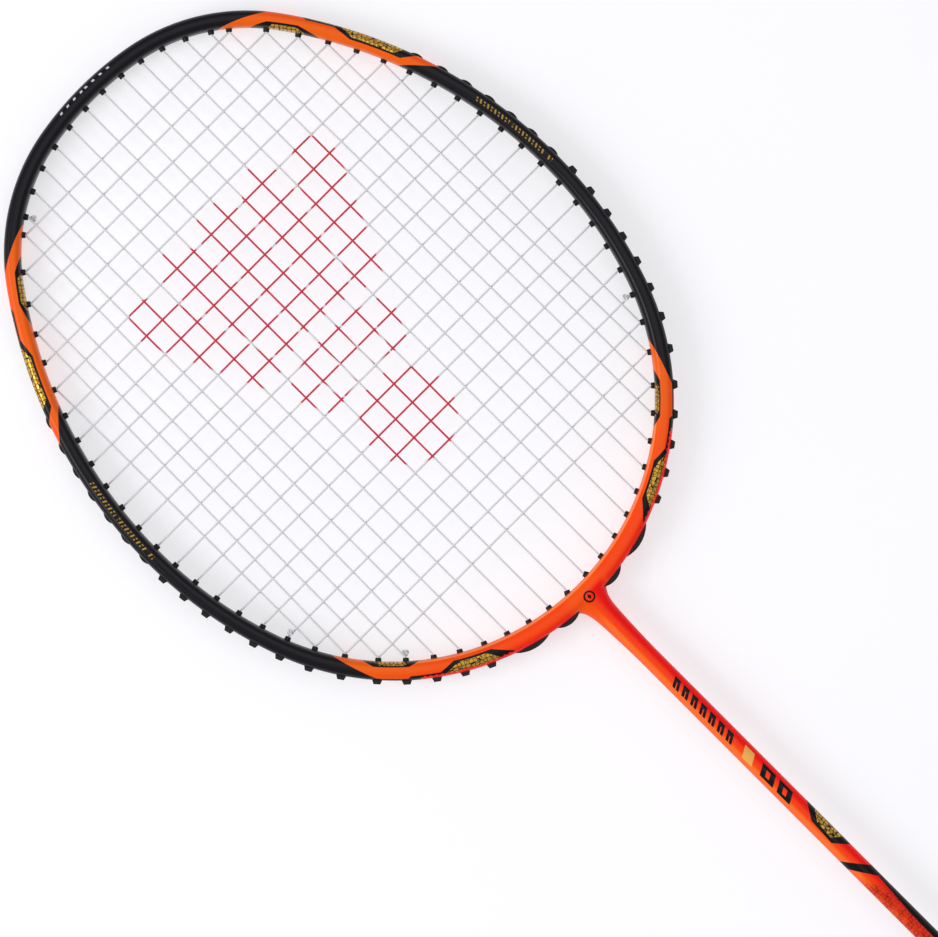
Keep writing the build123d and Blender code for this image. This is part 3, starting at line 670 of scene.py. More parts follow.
@dataclass(frozen=True)
class StringFibre(Finish):
    """Braided white string with a crimson stencil of a shuttlecock: a round cork and a fan of feathers."""

    body: Colour = tone(224, 224, 226)
    groove: Colour = tone(188, 188, 192)
    ink: Colour = tone(204, 24, 60)
    apex_x: float = 494.0
    cork_radius: float = 17.0
    fan_half_angle: float = 0.44
    fan_start: float = 42.0
    fan_end: float = 122.0
    feathers: float = 5.0

    def stencil(self, x: Signal, y: Signal) -> Signal:
        """Mask of the shuttlecock.

        Args:
            x, y: place on the string bed in millimetres.

        Returns:
            One where there is ink.
        """
        run = x - self.apex_x
        radius = (run * run + y * y).root()
        angle = y.maths("ARCTAN2", run)
        slot = (angle * (self.feathers / (2 * self.fan_half_angle)) + 0.5).fraction()
        vane = abs(slot - 0.5).step(0.47, 0.43)
        scallop = abs(slot - 0.5) * abs(slot - 0.5) * 44.0
        fan = radius.step(self.fan_start - 0.3, self.fan_start + 0.3)
        fan = fan & (self.fan_end - radius - scallop).step(-0.3, 0.3)
        fan = fan & abs(angle).step(self.fan_half_angle, self.fan_half_angle - 0.01) & vane
        thread = radius.within(61.0, 66.0, 0.3)
        fan = fan & (1 - thread)
        cork_x = run - 21.0
        cork = (cork_x * cork_x + y * y).root().step(self.cork_radius + 0.3, self.cork_radius - 0.3)
        return fan | cork

    def material(self) -> Material:
        """Build the string: strands wind round it at a slant."""
        graph = Graph("string_fibre")
        place = graph.place()
        x, y, _ = graph.axes(place)
        along, around = graph.attribute("along"), graph.attribute("around")
        strand = ((along * 0.55 + around * 3.0) * FULL_TURN).sine() * 0.5 + 0.5
        counter = ((along * 0.55 - around * 3.0) * FULL_TURN).sine() * 0.5 + 0.5
        weave = strand * counter
        wear = graph.noise(place, 0.4, 3.0).step(0.62, 0.8) * 0.25
        plain = graph.blend(weave, self.body, self.groove)
        inked = self.stencil(x, y) * (1 - wear)
        return graph.surface(
            Base_Color=graph.blend(inked, plain, self.ink),
            Roughness=0.38 + weave * 0.15,
            Normal=graph.relief(strand * 0.5 + counter * 0.5, 0.00003, 0.7),
        )


@dataclass(frozen=True)
class MouldedPlastic(Finish):
    """Moulded plastic with a fine spark-eroded grain and soft lighter patches at random."""

    name: str = "cone_plastic"
    body: Colour = tone(22, 22, 24)
    lift: Colour = tone(40, 40, 44)
    roughness: float = 0.34

    def material(self) -> Material:
        """Build the plastic."""
        graph = Graph(self.name)
        place = graph.place()
        grain = graph.noise(place, 5.0, 4.0)
        blush = graph.noise(place, 0.15, 3.0)
        return graph.surface(
            Base_Color=graph.blend(blush, self.body, self.lift),
            Roughness=self.roughness + grain * 0.16,
            Normal=graph.relief(grain, 0.00004),
        )


@dataclass(frozen=True)
class GripFilm(Finish):
    """Soft tacky grip film: fine leather creases and rows of pinholes, both darkened with painted shade, and
    lighter handled patches.
    """

    body: Colour = tone(34, 34, 37)
    polished: Colour = tone(54, 53, 56)
    # Near-black for the painted shade in the creases and pinholes.
    hole: Colour = tone(10, 10, 11)

    def material(self) -> Material:
        """Build the film on the strip's own length and width."""
        graph = Graph("grip_film")
        along, across = graph.attribute("along"), graph.attribute("across")
        spot = graph.point(along, across, 0.0)
        creases = graph.cells(spot, 1.15, 1.0).step(0.0, 0.16)
        pores = graph.noise(spot, 3.0, 3.0)
        row = ((across + 12.5) * 0.2).fraction() - 0.5
        line = (along * 0.2).fraction() - 0.5
        pin = (row * row + line * line).root().step(0.10, 0.075)
        pin = pin & abs(across).step(8.6, 8.3)
        handled = graph.noise(spot, 0.03, 3.0).step(0.35, 0.7)
        coloured = graph.blend(handled * 0.7, self.body, self.polished)
        # Painted shade: the creases' edges and the pinholes are darkened with the near-black.
        coloured = graph.blend((1 - creases) * 0.5, coloured, self.hole)
        coloured = graph.blend(pin, coloured, self.hole)
        height = creases * 0.6 + pores * 0.3 - pin * 1.5
        return graph.surface(
            Base_Color=coloured,
            Roughness=0.62 - handled * 0.14 + pores * 0.1,
            Normal=graph.relief(height, 0.00016, 0.8),
            Specular_ior_level=0.4,
        )


@dataclass(frozen=True)
class TapeFilm(Finish):
    """Stretched vinyl finishing tape with faint lengthways drawing lines and plain orange edges."""

    body: Colour = tone(18, 18, 20)
    drawn: Colour = tone(44, 44, 48)
    trim: Colour = tone(244, 88, 8)
    middle: float = 150.0

    def material(self) -> Material:
        """Build the tape."""
        graph = Graph("finishing_tape_film")
        place = graph.place()
        x, _, _ = graph.axes(place)
        stretch = graph.drawn(place, (6.0, 0.3, 0.3))
        lines = graph.noise(stretch, 1.0, 3.0)
        edge = abs(x - self.middle).within(5.2, 6.4, 0.06)
        return graph.surface(
            Base_Color=graph.blend(edge, graph.blend(lines * 0.5, self.body, self.drawn), self.trim),
            Roughness=0.28 + lines * 0.2,
            Normal=graph.relief(lines, 0.00006),
        )


@dataclass(frozen=True)
class BadgeMetal(Finish):
    """Brushed badge with an orange enamel ring and a polished plain feather at its middle."""

    metal: Colour = tone(206, 206, 210)
    enamel: Colour = tone(240, 84, 6)

    def material(self) -> Material:
        """Build the badge, seen along the handle."""
        graph = Graph("badge_metal")
        place = graph.place()
        _, y, z = graph.axes(place)
        radius = ((y * y) / (8.5 * 8.5) + (z * z) / (7.0 * 7.0)).root()
        ring = radius.within(0.66, 0.84, 0.01)
        plan = PaintPlan(graph, y, z)
        vane = plan.patch([(-3.6, -0.2), (-1.2, 1.9), (3.6, 2.6), (4.2, 1.4), (1.0, -1.4)], 0.06)
        quill = plan.patch([(-4.6, -1.9), (-4.2, -2.3), (4.0, 1.9), (3.8, 2.2)], 0.06)
        barbs = ((y * 1.3 - z * 1.1)).fraction().within(0.1, 0.22, 0.04)
        feather = (vane & (1 - barbs)) | quill
        brushed = graph.drawn(place, (1.0, 0.3, 9.0))
        lines = graph.noise(brushed, 1.0, 3.0)
        coloured = graph.blend(lines, self.metal, tone(160, 160, 166))
        coloured = graph.blend(ring, coloured, self.enamel)
        coloured = graph.blend(feather, coloured, tone(30, 30, 33))
        return graph.surface(
            Base_Color=coloured,
            Metallic=1 - (ring | feather),
            Roughness=0.22 + lines * 0.16,
            Normal=graph.relief(lines - ring * 0.5 - feather * 0.4, 0.00005),
        )


@dataclass(frozen=True)
class CoreWood(Finish):
    """Pale planed wood with growth rings drawn out along the handle."""

    early: Colour = tone(206, 164, 110)
    late: Colour = tone(162, 112, 66)

    def material(self) -> Material:
        """Build the wood."""
        graph = Graph("core_wood")
        place = graph.place()
        drawn = graph.drawn(place, (0.03, 1.0, 1.0))
        warp = graph.noise(drawn, 0.25, 2.0)
        _, y, z = graph.axes(drawn)
        ring = ((y * 0.9 + z * 0.5 + warp * 5.0) * 0.6).fraction()
        late = ring.step(0.55, 0.95) & ring.step(1.0, 0.97)
        fibre = graph.noise(drawn, 3.0, 4.0)
        return graph.surface(
            Base_Color=graph.blend(late * 0.8 + fibre * 0.2, self.early, self.late),
            Roughness=0.55 + fibre * 0.2,
            Normal=graph.relief(fibre, 0.00008),
        )


@dataclass(frozen=True)
class BrightSteel(Finish):
    """Drawn steel with fine lines."""

    body: Colour = tone(176, 178, 182)

    def material(self) -> Material:
        """Build the steel."""
        graph = Graph("bright_steel")
        lines = graph.noise(graph.place(), 4.0, 4.0)
        return graph.surface(
            Base_Color=graph.blend(lines, self.body, tone(140, 142, 148)),
            Metallic=1.0,
            Roughness=0.26 + lines * 0.16,
            Normal=graph.relief(lines, 0.00003, 0.5),
        )


@dataclass(frozen=True)
class WovenResin(Finish):
    """Dark resin over a twill of fibre, as on a moulded joint."""

    dark: Colour = tone(20, 20, 22)
    light: Colour = tone(58, 60, 64)

    def material(self) -> Material:
        """Build the resin."""
        graph = Graph("joint_resin")
        place = graph.place()
        x, y, z = graph.axes(place)
        twill = ((x + y + z) * 0.7).fraction().within(0.1, 0.55, 0.08)
        fibre = graph.noise(place, 4.0, 3.0)
        return graph.surface(
            Base_Color=graph.blend(twill * 0.7, self.dark, self.light),
            Roughness=0.32 + fibre * 0.18,
            Normal=graph.relief(twill, 0.00006),
        )


# ------------------------------------------------------------------------------------------ meshes
def grid_faces(rows: int, columns: int, wrap_rows: bool, wrap_columns: bool) -> Array:
    """Four-cornered faces of a grid of points numbered row by row.

    Args:
        rows, columns: the grid's size.
        wrap_rows, wrap_columns: whether the last row or column joins the first.

    Returns:
        One row of four point numbers for each face.
    """
    row, column = np.meshgrid(
        np.arange(rows if wrap_rows else rows - 1),
        np.arange(columns if wrap_columns else columns - 1),
        indexing="ij",
    )
    next_row, next_column = (row + 1) % rows, (column + 1) % columns
    corners = [
        row * columns + column,
        next_row * columns + column,
        next_row * columns + next_column,
        row * columns + next_column,
    ]
    return np.stack(corners, axis=-1).reshape(-1, 4)


def enclosed(points: Array, quads: Array, triangles: Array) -> float:
    """Signed volume: the sum of each triangle's corner product over six.

    Args:
        points: one row for each point.
        quads, triangles: point numbers of the faces.

    Returns:
        The volume, below zero where the faces point inwards.
    """
    halves = [quads[:, [0, 1, 2]], quads[:, [0, 2, 3]], triangles]
    corners = points[np.concatenate(halves)]
    return float(np.einsum("ij,ij->", corners[:, 0], np.cross(corners[:, 1], corners[:, 2])) / 6)


def make_mesh(
    name: str, points: Array, quads: Array, triangles: Array, values: Mapping[str, Array]
) -> Piece:
    """Smooth mesh object at the origin whose faces point outwards.

    Args:
        name: the piece's name.
        points: one row for each point, in metres.
        quads, triangles: point numbers of the faces.
        values: numbers for the points, by attribute name.

    Returns:
        The new object.
    """
    if enclosed(points, quads, triangles) < 0:
        quads, triangles = quads[:, ::-1], triangles[:, ::-1]
    mesh = bpy.data.meshes.new(name)
    mesh.from_pydata(points.tolist(), [], quads.tolist() + triangles.tolist())
    mesh.shade_smooth()
    for key, numbers in values.items():
        layer = mesh.attributes.new(key, "FLOAT", "POINT")
        layer.data.foreach_set("value", np.ascontiguousarray(numbers, np.float32).ravel())
    piece = bpy.data.objects.new(name, mesh)
    bpy.context.scene.collection.objects.link(piece)
    return piece


def turned(x: Array, width: Array, depth: Array, count: int) -> Array:
    """Rings square to X: width times the cosine and depth times the sine of an angle.

    Args:
        x, width, depth: one number for each ring.
        count: points on a ring.

    Returns:
        Points as rings by points by three.
    """
    angle = np.arange(count) / count * FULL_TURN
    rings = np.empty((x.size, count, 3))
    rings[..., 0] = x[:, None]
    rings[..., 1] = width[:, None] * np.cos(angle)[None, :]
    rings[..., 2] = depth[:, None] * np.sin(angle)[None, :]
    return rings


def carried(route: Array, way: Array, up: Array, radius: float, count: int) -> Array:
    """Rings round a route: the radius times the cosine and sine of an angle, square to the way.

    Args:
        route: points along the middle.
        way: direction at each point, of any length.
        up: a direction at each point that is never along the way.
        radius: the rings' radius.
        count: points on a ring.

    Returns:
        Points as rings by points by three.
    """
    way = way / np.linalg.norm(way, axis=1)[:, None]
    aside = np.cross(way, up)
    aside /= np.linalg.norm(aside, axis=1)[:, None]
    over = np.cross(aside, way)
    angle = (np.arange(count) / count * FULL_TURN)[None, :, None]
    return route[:, None] + radius * (aside[:, None] * np.cos(angle) + over[:, None] * np.sin(angle))


def closed_skin(
    name: str, rings: Array, values: Mapping[str, Array] | None = None, loop: bool = False, copies: int = 1
) -> Piece:
    """Closed skin through a row of rings, joined into a loop or ended with a pole at the ends' middles.

    Args:
        name: the piece's name.
        rings: points as rings by points by three.
        values: numbers as rings by points, by attribute name.
        loop: whether the last ring joins the first.
        copies: how many equal loops the rows of rings hold, one after another.

    Returns:
        The new object.
    """
    rows, columns, _ = rings.shape
    quads = grid_faces(rows // copies, columns, loop, True)
    quads = np.concatenate([quads + copy * rows // copies * columns for copy in range(copies)])
    points = rings.reshape(-1, 3)
    given = (values or {}).items()
    numbers = {key: np.broadcast_to(array, (rows, columns)).reshape(-1) for key, array in given}
    triangles = np.zeros((0, 3), int)
    if not loop:
        around = np.arange(columns)
        following = (around + 1) % columns
        last = (rows - 1) * columns
        start = np.stack([np.full(columns, rows * columns), around, following], -1)
        end = np.stack([np.full(columns, rows * columns + 1), last + following, last + around], -1)
        triangles = np.concatenate([start, end])
        points = np.concatenate([points, rings[[0, -1]].mean(axis=1)])
        numbers = {
            key: np.concatenate([array, [array[:columns].mean(), array[-columns:].mean()]])
            for key, array in numbers.items()
        }
    return make_mesh(name, points, quads, triangles, numbers)


def dress(
    piece: Piece, material: Material, stands_for: Sequence[str] = ()
) -> Piece:
    """Give a new piece its material, its body and the CAD nodes that it stands for.

    Args:
        piece: the finished object.
        material: its finish.
        stands_for: the CAD nodes that it hides.

    Returns:
        The same piece.
    """
    piece.data.materials.append(material)
    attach(piece, "root")
    if stands_for:
        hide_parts(*stands_for)
    LOG.info("%s: %d faces", piece.name, len(piece.data.polygons))
    return piece


# ------------------------------------------------------------------------------------------ hoop
@dataclass
class HoopOutline:
    """Closed outline of tangent arcs, named by turning angle: 0 at the tip and half a turn at the throat.

    band is -1 on the tube's inner edge, 0 on its centre line and 1 on its outer edge, and shift moves
    the outline that far further out.
    """

    tip_x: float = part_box("head_frame")[1].x
    throat_x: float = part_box("head_frame")[0].x
    half_width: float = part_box("head_frame")[1].y
    widest_from_tip: float = 132.7 * MM
    corner_radius: float = 69.0 * MM
    tube_at_tip: float = 6.2 * MM
    tube_at_side: float = 5.9 * MM
    tube_at_throat: float = 7.2 * MM
    tip_turn: float = math.radians(10)
    corner_turn: float = math.radians(54)
    shoulder_turn: float = math.radians(109)

    def arcs(self, band: float, shift: float) -> tuple[float, Array, Array]:
        """Tip's X, the five radii and the six turning angles between them.

        Two pairs of equations give the radii: each half of the outline reaches its end of the head and
        the full half width.
        """
        widest = self.tip_x - self.widest_from_tip
        tip_reach = self.widest_from_tip + (band - 1) * self.tube_at_tip / 2
        throat_reach = widest - self.throat_x + (band - 1) * self.tube_at_throat / 2
        width = self.half_width + (band - 1) * self.tube_at_side / 2
        corner = self.corner_radius + band * self.tube_at_tip / 2
        a, b, c = self.tip_turn, self.corner_turn, self.shoulder_turn
        front = np.array([[1 - math.cos(a), math.cos(b)], [math.sin(a), 1 - math.sin(b)]])
        front_reach = [
            tip_reach - corner * (math.cos(a) - math.cos(b)),
            width - corner * (math.sin(b) - math.sin(a)),
        ]
        back = np.array([[1 + math.cos(c), -math.cos(c)], [math.sin(c), 1 - math.sin(c)]])
        tip, side = np.linalg.solve(front, front_reach)
        throat, shoulder = np.linalg.solve(back, [throat_reach, width])
        radii = np.array([tip, corner, side, shoulder, throat]) + shift
        return widest + tip_reach + shift, radii, np.array([0, a, b, math.pi / 2, c, math.pi])

    def point(self, turn: Array, band: float = 0.0, shift: float = 0.0) -> Array:
        """Points at turning angles: each arc adds its radius times the change of cosine and sine.

        Args:
            turn: turning angles, below zero on the -Y side.
            band, shift: which outline, as the class says.

        Returns:
            One row of X and Y for each angle.
        """
        signed = (np.atleast_1d(np.asarray(turn, float)) + math.pi) % FULL_TURN - math.pi
        tip_x, radii, stops = self.arcs(band, shift)
        passed = np.clip(np.abs(signed)[:, None], stops[:-1], stops[1:])
        x = tip_x - (radii * (np.cos(stops[:-1]) - np.cos(passed))).sum(axis=1)
        y = (radii * (np.sin(passed) - np.sin(stops[:-1]))).sum(axis=1)
        return np.stack([x, np.where(signed < 0, -y, y)], axis=1)

    def length(self, turn: Array) -> Array:
        """Distance from the tip along the centre line: each arc adds its radius times its turn.

        Args:
            turn: turning angles.

        Returns:
            The distances.
        """
        _, radii, stops = self.arcs(0.0, 0.0)
        passed = np.clip(np.abs(np.atleast_1d(turn))[:, None], stops[:-1], stops[1:])
        return (radii * (passed - stops[:-1])).sum(axis=1)

    def turn_where(
        self, axis: int, value: Array, low: float, high: float, band: float, shift: float
    ) -> Array:
        """Turning angles between low and high where X (axis 0) or Y (axis 1) has the given values.

        Args:
            axis: 0 for X and 1 for Y.
            value: the wanted coordinates.
            low, high: the turning angles to look between.
            band, shift: which outline, as the class says.

        Returns:
            The turning angles.
        """
        turns = np.linspace(low, high, 4001)
        places = self.point(turns, band, shift)[:, axis]
        order = np.argsort(places)
        return np.interp(value, places[order], turns[order])


@dataclass
class Hoop:
    """Oval tube with a groove round its outside for the grommets and the string's links."""

    outline: HoopOutline
    half_depth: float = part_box("head_frame")[1].z
    groove_depth: float = 1.6 * MM
    groove_half: float = 2.5 * MM
    groove_round: float = 0.45 * MM
    lip_round: float = 0.3 * MM
    fullness: float = 2.7
    stations: int = 760
    oval_points: int = 52

    def section(self) -> tuple[Array, Array]:
        """Half of the closed section, mirrored: band and height of each point.

        The oval is a superellipse: the powers of both shares add to one. The groove's floor meets its
        walls in a quarter round, and the lips are a quarter round too.
        """
        half = (self.outline.tube_at_tip + self.outline.tube_at_throat) / 4
        lip_height = self.groove_half + self.lip_round
        lip_angle = math.asin((lip_height / self.half_depth) ** (self.fullness / 2))
        angle = np.linspace(lip_angle, math.pi, self.oval_points)
        oval_band = np.sign(np.cos(angle)) * np.abs(np.cos(angle)) ** (2 / self.fullness)
        oval_height = self.half_depth * np.abs(np.sin(angle)) ** (2 / self.fullness)
        floor = 1 - self.groove_depth / half
        quarter = np.linspace(0, math.pi / 2, 5)
        round_band = self.groove_round / half
        foot_band = floor + round_band * (1 - np.cos(quarter))
        foot_height = self.groove_half - self.groove_round * (1 - np.sin(quarter))
        lip_band = oval_band[0] - self.lip_round / half * (1 - np.sin(quarter[:-1]))
        lip_rise = self.groove_half + self.lip_round * (1 - np.cos(quarter[:-1]))
        floor_height = np.linspace(0, foot_height[0], 5)[:-1]
        band = np.concatenate([np.full(4, floor), foot_band, lip_band, oval_band])
        height = np.concatenate([floor_height, foot_height, lip_rise, oval_height])
        return np.concatenate([band, band[-2:0:-1]]), np.concatenate([height, -height[-2:0:-1]])

    def build(self, lacquer: Material) -> None:
        """Carry the section round the outline, evenly by length."""
        turns = np.linspace(0, math.pi, 4001)
        lengths = self.outline.length(turns)
        share = (np.arange(self.stations) / self.stations) * 2 - 1
        signed_length = share * lengths[-1]
        turn = np.sign(signed_length) * np.interp(np.abs(signed_length), lengths, turns)
        centre, outer = self.outline.point(turn), self.outline.point(turn, 1.0)
        band, height = self.section()
        rings = np.empty((self.stations, band.size, 3))
        rings[..., :2] = centre[:, None, :] + (outer - centre)[:, None, :] * band[None, :, None]
        rings[..., 2] = height[None, :]
        in_groove = (np.abs(height) < self.groove_half + self.lip_round) & (band > 0)
        across = np.where(in_groove, 1.0, band)
        along = np.abs(signed_length) / MM
        values = {"along": along[:, None], "across": across[None, :]}
        piece = closed_skin("hoop_skin", rings, values, loop=True)
        dress(piece, lacquer, ["head_frame"])


# ------------------------------------------------------------------------------------------ strings
class Layer(Enum):
    """Which set of strings: its level at the hoop and the sign of its first wave."""

    MAIN = 1
    CROSS = -1


@dataclass
class Hole:
    """A drilled hole: its turning angle, the side of the racket and its slant."""

    outline: HoopOutline
    turn: float
    side: int
    splay: float = 0.0
    reach: float = 1.2 * MM
    link_shift: float = -0.4 * MM

    def mouth(self) -> Array:
        """Middle of the inner mouth."""
        x, y = self.outline.point(self.turn, -1.0, -self.reach)[0]
        return np.array([x, self.side * y])

    def direction(self) -> Array:
        """Unit direction outwards along the hole."""
        angle = self.turn + self.splay
        return np.array([math.cos(angle), self.side * math.sin(angle)])

    def outside(self) -> Array:
        """Where the hole meets the line of the string's links."""
        x, y = self.outline.point(self.turn, 1.0, self.link_shift)[0]
        gap = np.array([x, self.side * y]) - self.mouth()
        normal = np.array([math.cos(self.turn), self.side * math.sin(self.turn)])
        return self.mouth() + self.direction() * (gap @ normal) / math.cos(self.splay)


@dataclass
class Stringing:
    """Both strings, woven over and under each other, with their knots."""

    outline: HoopOutline
    radius: float = 0.35 * MM
    level: float = 0.36 * MM
    wave: float = 0.345 * MM
    first_main: float = 4.1 * MM
    tenth_main_margin: float = 19.7 * MM
    last_main_margin: float = 11.1 * MM
    main_ease: float = 0.09
    mains_per_side: int = 11
    cross_count: int = 22
    first_cross_margin: float = 16.6 * MM
    last_cross_margin: float = 30.7 * MM
    tip_shared: dict[int, int] = field(default_factory=lambda: {7: 1, 8: 2, 9: 3, 10: 4, 11: 6})
    throat_shared: dict[int, int] = field(default_factory=lambda: {9: 22, 10: 21, 11: 20})
    main_tie_cross: int = 19
    cross_tie_mains: tuple[int, int] = (6, 8)
    throat_splay: float = math.radians(22)
    mouth_reach: float = 1.2 * MM
    hole_bend: float = 1.1 * MM
    mouth_bend: float = 1.4 * MM
    link_step: float = 6.5 * MM
    tail: float = 0.5 * MM
    sample: float = 1.15 * MM
    sides: int = 8
    arc_samples: int = 6
    settle: float = 5.0 * MM
    knot_ring: float = 0.62 * MM
    knot_tube: float = 0.36 * MM
    knot_gap: float = 1.7 * MM
    knot_level: float = 1.02 * MM
    knot_rings: int = 144
    knot_sides: int = 12

    def __post_init__(self) -> None:
        """Work out the lines of the mains by Y and of the crosses by X."""
        line = self.outline
        clear = line.half_width - line.tube_at_side
        eased = self.mains_per_side - 2
        share = np.arange(eased + 1) / eased
        spread = clear - self.tenth_main_margin - self.first_main
        near = self.first_main + spread * share * (1 + self.main_ease * (1 - share))
        self.main_y = np.append(near, clear - self.last_main_margin)
        first = line.tip_x - line.tube_at_tip - self.first_cross_margin
        last = line.throat_x + line.tube_at_throat + self.last_cross_margin
        self.cross_x = np.linspace(first, last, self.cross_count)

    def hole_across(self, number: int, side: int) -> Hole:
        """Hole of a cross string."""
        value = self.cross_x[number - 1]
        turn = self.outline.turn_where(0, value, 0.0, math.pi, -1.0, -self.mouth_reach)
        return Hole(self.outline, float(turn), side)

    def hole_at_tip(self, number: int, side: int) -> Hole:
        """Hole at a main's tip end."""
        if number in self.tip_shared:
            return self.hole_across(self.tip_shared[number], side)
        turn = self.outline.turn_where(1, self.main_y[number - 1], 0.0, math.pi / 2, -1.0, -self.mouth_reach)
        return Hole(self.outline, float(turn), side)

    def hole_at_throat(self, number: int, side: int) -> Hole:
        """Hole at a main's throat end; the middle pair is splayed clear of the shaft."""
        if number in self.throat_shared:
            return self.hole_across(self.throat_shared[number], side)
        y = self.main_y[number - 1]
        turn = self.outline.turn_where(1, y, math.pi / 2, math.pi, -1.0, -self.mouth_reach)
        return Hole(self.outline, float(turn), side, -self.throat_splay if number == 1 else 0.0)

    def link(self, leaving: Hole, entering: Hole) -> tuple[list[Array], list[float]]:
        """Corners and bends of the string outside the hoop between two holes.

        Args:
            leaving, entering: the holes in stringing order.

        Returns:
            The corners, and the bend at each of them.
        """
        start, end = leaving.outside(), entering.outside()
        first, last = leaving.turn * leaving.side, entering.turn * entering.side
        if leaving.side != entering.side and leaving.turn > math.pi / 2:
            first, last = first % FULL_TURN, last % FULL_TURN
        steps = int(np.linalg.norm(end - start) / self.link_step)
        turns = first + (last - first) * np.arange(1, steps + 1) / (steps + 1)
        middles = self.outline.point(turns, 1.0, leaving.link_shift) if steps else np.zeros((0, 2))
        return [start, *middles, end], [self.hole_bend] + [math.inf] * steps + [self.hole_bend]

    def corners(self, runs: list[tuple[Hole, Hole]], first: Hole, last: Hole) -> tuple[Array, Array]:
        """Corners of a whole string and the bend wanted at each inner one.

        Args:
            runs: entry and exit hole of each run across the bed.
            first, last: the tie-off holes.

        Returns:
            The corners and the bends.
        """
        points, bends = [first.mouth() - first.direction() * self.tail], []
        more, radii = self.link(first, runs[0][0])
        points, bends = points + more, bends + radii
        following = [run[0] for run in runs[1:]] + [last]
        for (entry, leave), after in zip(runs, following):
            points += [entry.mouth(), leave.mouth()]
            bends += [self.mouth_bend, self.mouth_bend]
            more, radii = self.link(leave, after)
            points, bends = points + more, bends + radii
        points.append(last.mouth() - last.direction() * self.tail)
        return np.array(points), np.array(bends)

    def rounded(self, corners: Array, bends: Array) -> Array:
        """Route with every inner corner turned into an arc, sampled evenly along its length.

        An arc starts its radius times the tangent of half the turn before its corner, and each of its
        points is the arc's centre less the inward direction times the radius times a cosine, plus the
        run's direction times the radius times the sine.

        Args:
            corners: the string's corners.
            bends: the bend wanted at each inner one.

        Returns:
            Points of the route.
        """
        runs = np.diff(corners, axis=0)
        lengths = np.linalg.norm(runs, axis=1)
        ways = runs / lengths[:, None]
        before, after = ways[:-1], ways[1:]
        turn = np.arccos(np.clip((before * after).sum(axis=1), -1, 1))
        turn = np.maximum(turn, 1e-4)
        room = 0.45 * np.minimum(lengths[:-1], lengths[1:]) / np.tan(turn / 2)
        radius = np.minimum(bends, room)
        inward = after - before * np.cos(turn)[:, None]
        inward /= np.maximum(np.linalg.norm(inward, axis=1), 1e-9)[:, None]
        start = corners[1:-1] - before * (radius * np.tan(turn / 2))[:, None]
        centre = start + inward * radius[:, None]
        sweep = turn[:, None] * np.linspace(0, 1, self.arc_samples)[None, :]
        arcs = (
            centre[:, None]
            - inward[:, None] * (radius[:, None] * np.cos(sweep))[..., None]
            + before[:, None] * (radius[:, None] * np.sin(sweep))[..., None]
        )
        route = np.concatenate([corners[:1], arcs.reshape(-1, 2), corners[-1:]])
        steps = np.linalg.norm(np.diff(route, axis=0), axis=1)
        travelled = np.concatenate([[0.0], np.cumsum(steps)])
        even = np.arange(0.0, travelled[-1], self.sample)
        stops = np.unique(np.round(np.concatenate([travelled, even]), 6))
        keep = np.concatenate([[True], np.diff(stops) > 0.04 * MM])
        stops = stops[keep]
        return np.stack([np.interp(stops, travelled, route[:, axis]) for axis in (0, 1)], axis=1)

    def height(self, route: Array, layer: Layer) -> Array:
        """Height of a string: a cosine wave of one crossing per half turn, level near the hoop.

        The wave's sign changes from each string to the next. It dies out over the last few millimetres
        before the hoop's inner edge, where the string keeps to its own side.

        Args:
            route: points of the string, flat on the bed.
            layer: which string it is.

        Returns:
            Z of each point.
        """
        columns = np.concatenate([-self.main_y[::-1], self.main_y])
        number = np.arange(columns.size)
        main_place = np.interp(route[:, 1], columns, number)
        cross_place = (self.cross_x[0] - route[:, 0]) / (self.cross_x[0] - self.cross_x[1])
        if layer is Layer.MAIN:
            wave = np.cos(np.pi * cross_place) * np.cos(np.pi * np.round(main_place))
        else:
            wave = -np.cos(np.pi * main_place) * np.cos(np.pi * np.round(cross_place))
        turns = np.linspace(-math.pi, math.pi, 1441)
        edge = self.outline.point(turns, -1.0)
        middle = np.array([(edge[:, 0].max() + edge[:, 0].min()) / 2, 0.0])
        bearing = np.arctan2(edge[:, 1], edge[:, 0] - middle[0])
        order = np.argsort(bearing)
        reach = np.hypot(edge[:, 0] - middle[0], edge[:, 1])
        offset = route - middle
        wall = np.interp(
            np.arctan2(offset[:, 1], offset[:, 0]), bearing[order], reach[order], period=FULL_TURN
        )
        free = smoothstep((wall - np.hypot(offset[:, 0], offset[:, 1])) / self.settle)
        return layer.value * self.level * (1 - free) + wave * self.wave * free

    def strand(self, name: str, route: Array) -> Piece:
        """Round string along a route, which keeps its length and angle as attributes."""
        up = np.tile([0.0, 0.0, 1.0], (len(route), 1))
        rings = carried(route, np.gradient(route, axis=0), up, self.radius, self.sides)
        steps = np.linalg.norm(np.diff(route, axis=0), axis=1)
        along = np.concatenate([[0.0], np.cumsum(steps)]) / MM
        around = np.abs(np.arange(self.sides) / self.sides * 2 - 1)
        return closed_skin(name, rings, {"along": along[:, None], "around": around[None, :]})

    def knot(self, hole: Hole, layer: Layer) -> Array:
        """Rings of the overhand knot at a tie-off hole.

        It is a torus knot, twice round the ring and three times round the tube; the torus's own normal
        stands square to it.

        Args:
            hole: the tie-off hole.
            layer: the string that is tied.

        Returns:
            Points as rings by points by three.
        """
        turn = np.linspace(0, FULL_TURN, self.knot_rings + 1)[:-1]
        out = np.stack([np.cos(2 * turn), np.sin(2 * turn)])
        swell = self.knot_ring + self.knot_tube * np.cos(3 * turn)
        flat = np.stack([*(swell * out), self.knot_tube * 1.15 * np.sin(3 * turn)], 1)
        normal = np.stack([*(np.cos(3 * turn) * out), np.sin(3 * turn)], 1)
        way = hole.direction()
        axes = np.array([[way[0], way[1], 0.0], [-way[1], way[0], 0.0], [0.0, 0.0, 1.0]])
        middle = hole.mouth() - way * self.knot_gap
        route = flat @ axes + [*middle, layer.value * self.knot_level]
        run = np.roll(route, -1, axis=0) - np.roll(route, 1, axis=0)
        return carried(route, run, normal @ axes, self.radius, self.knot_sides)

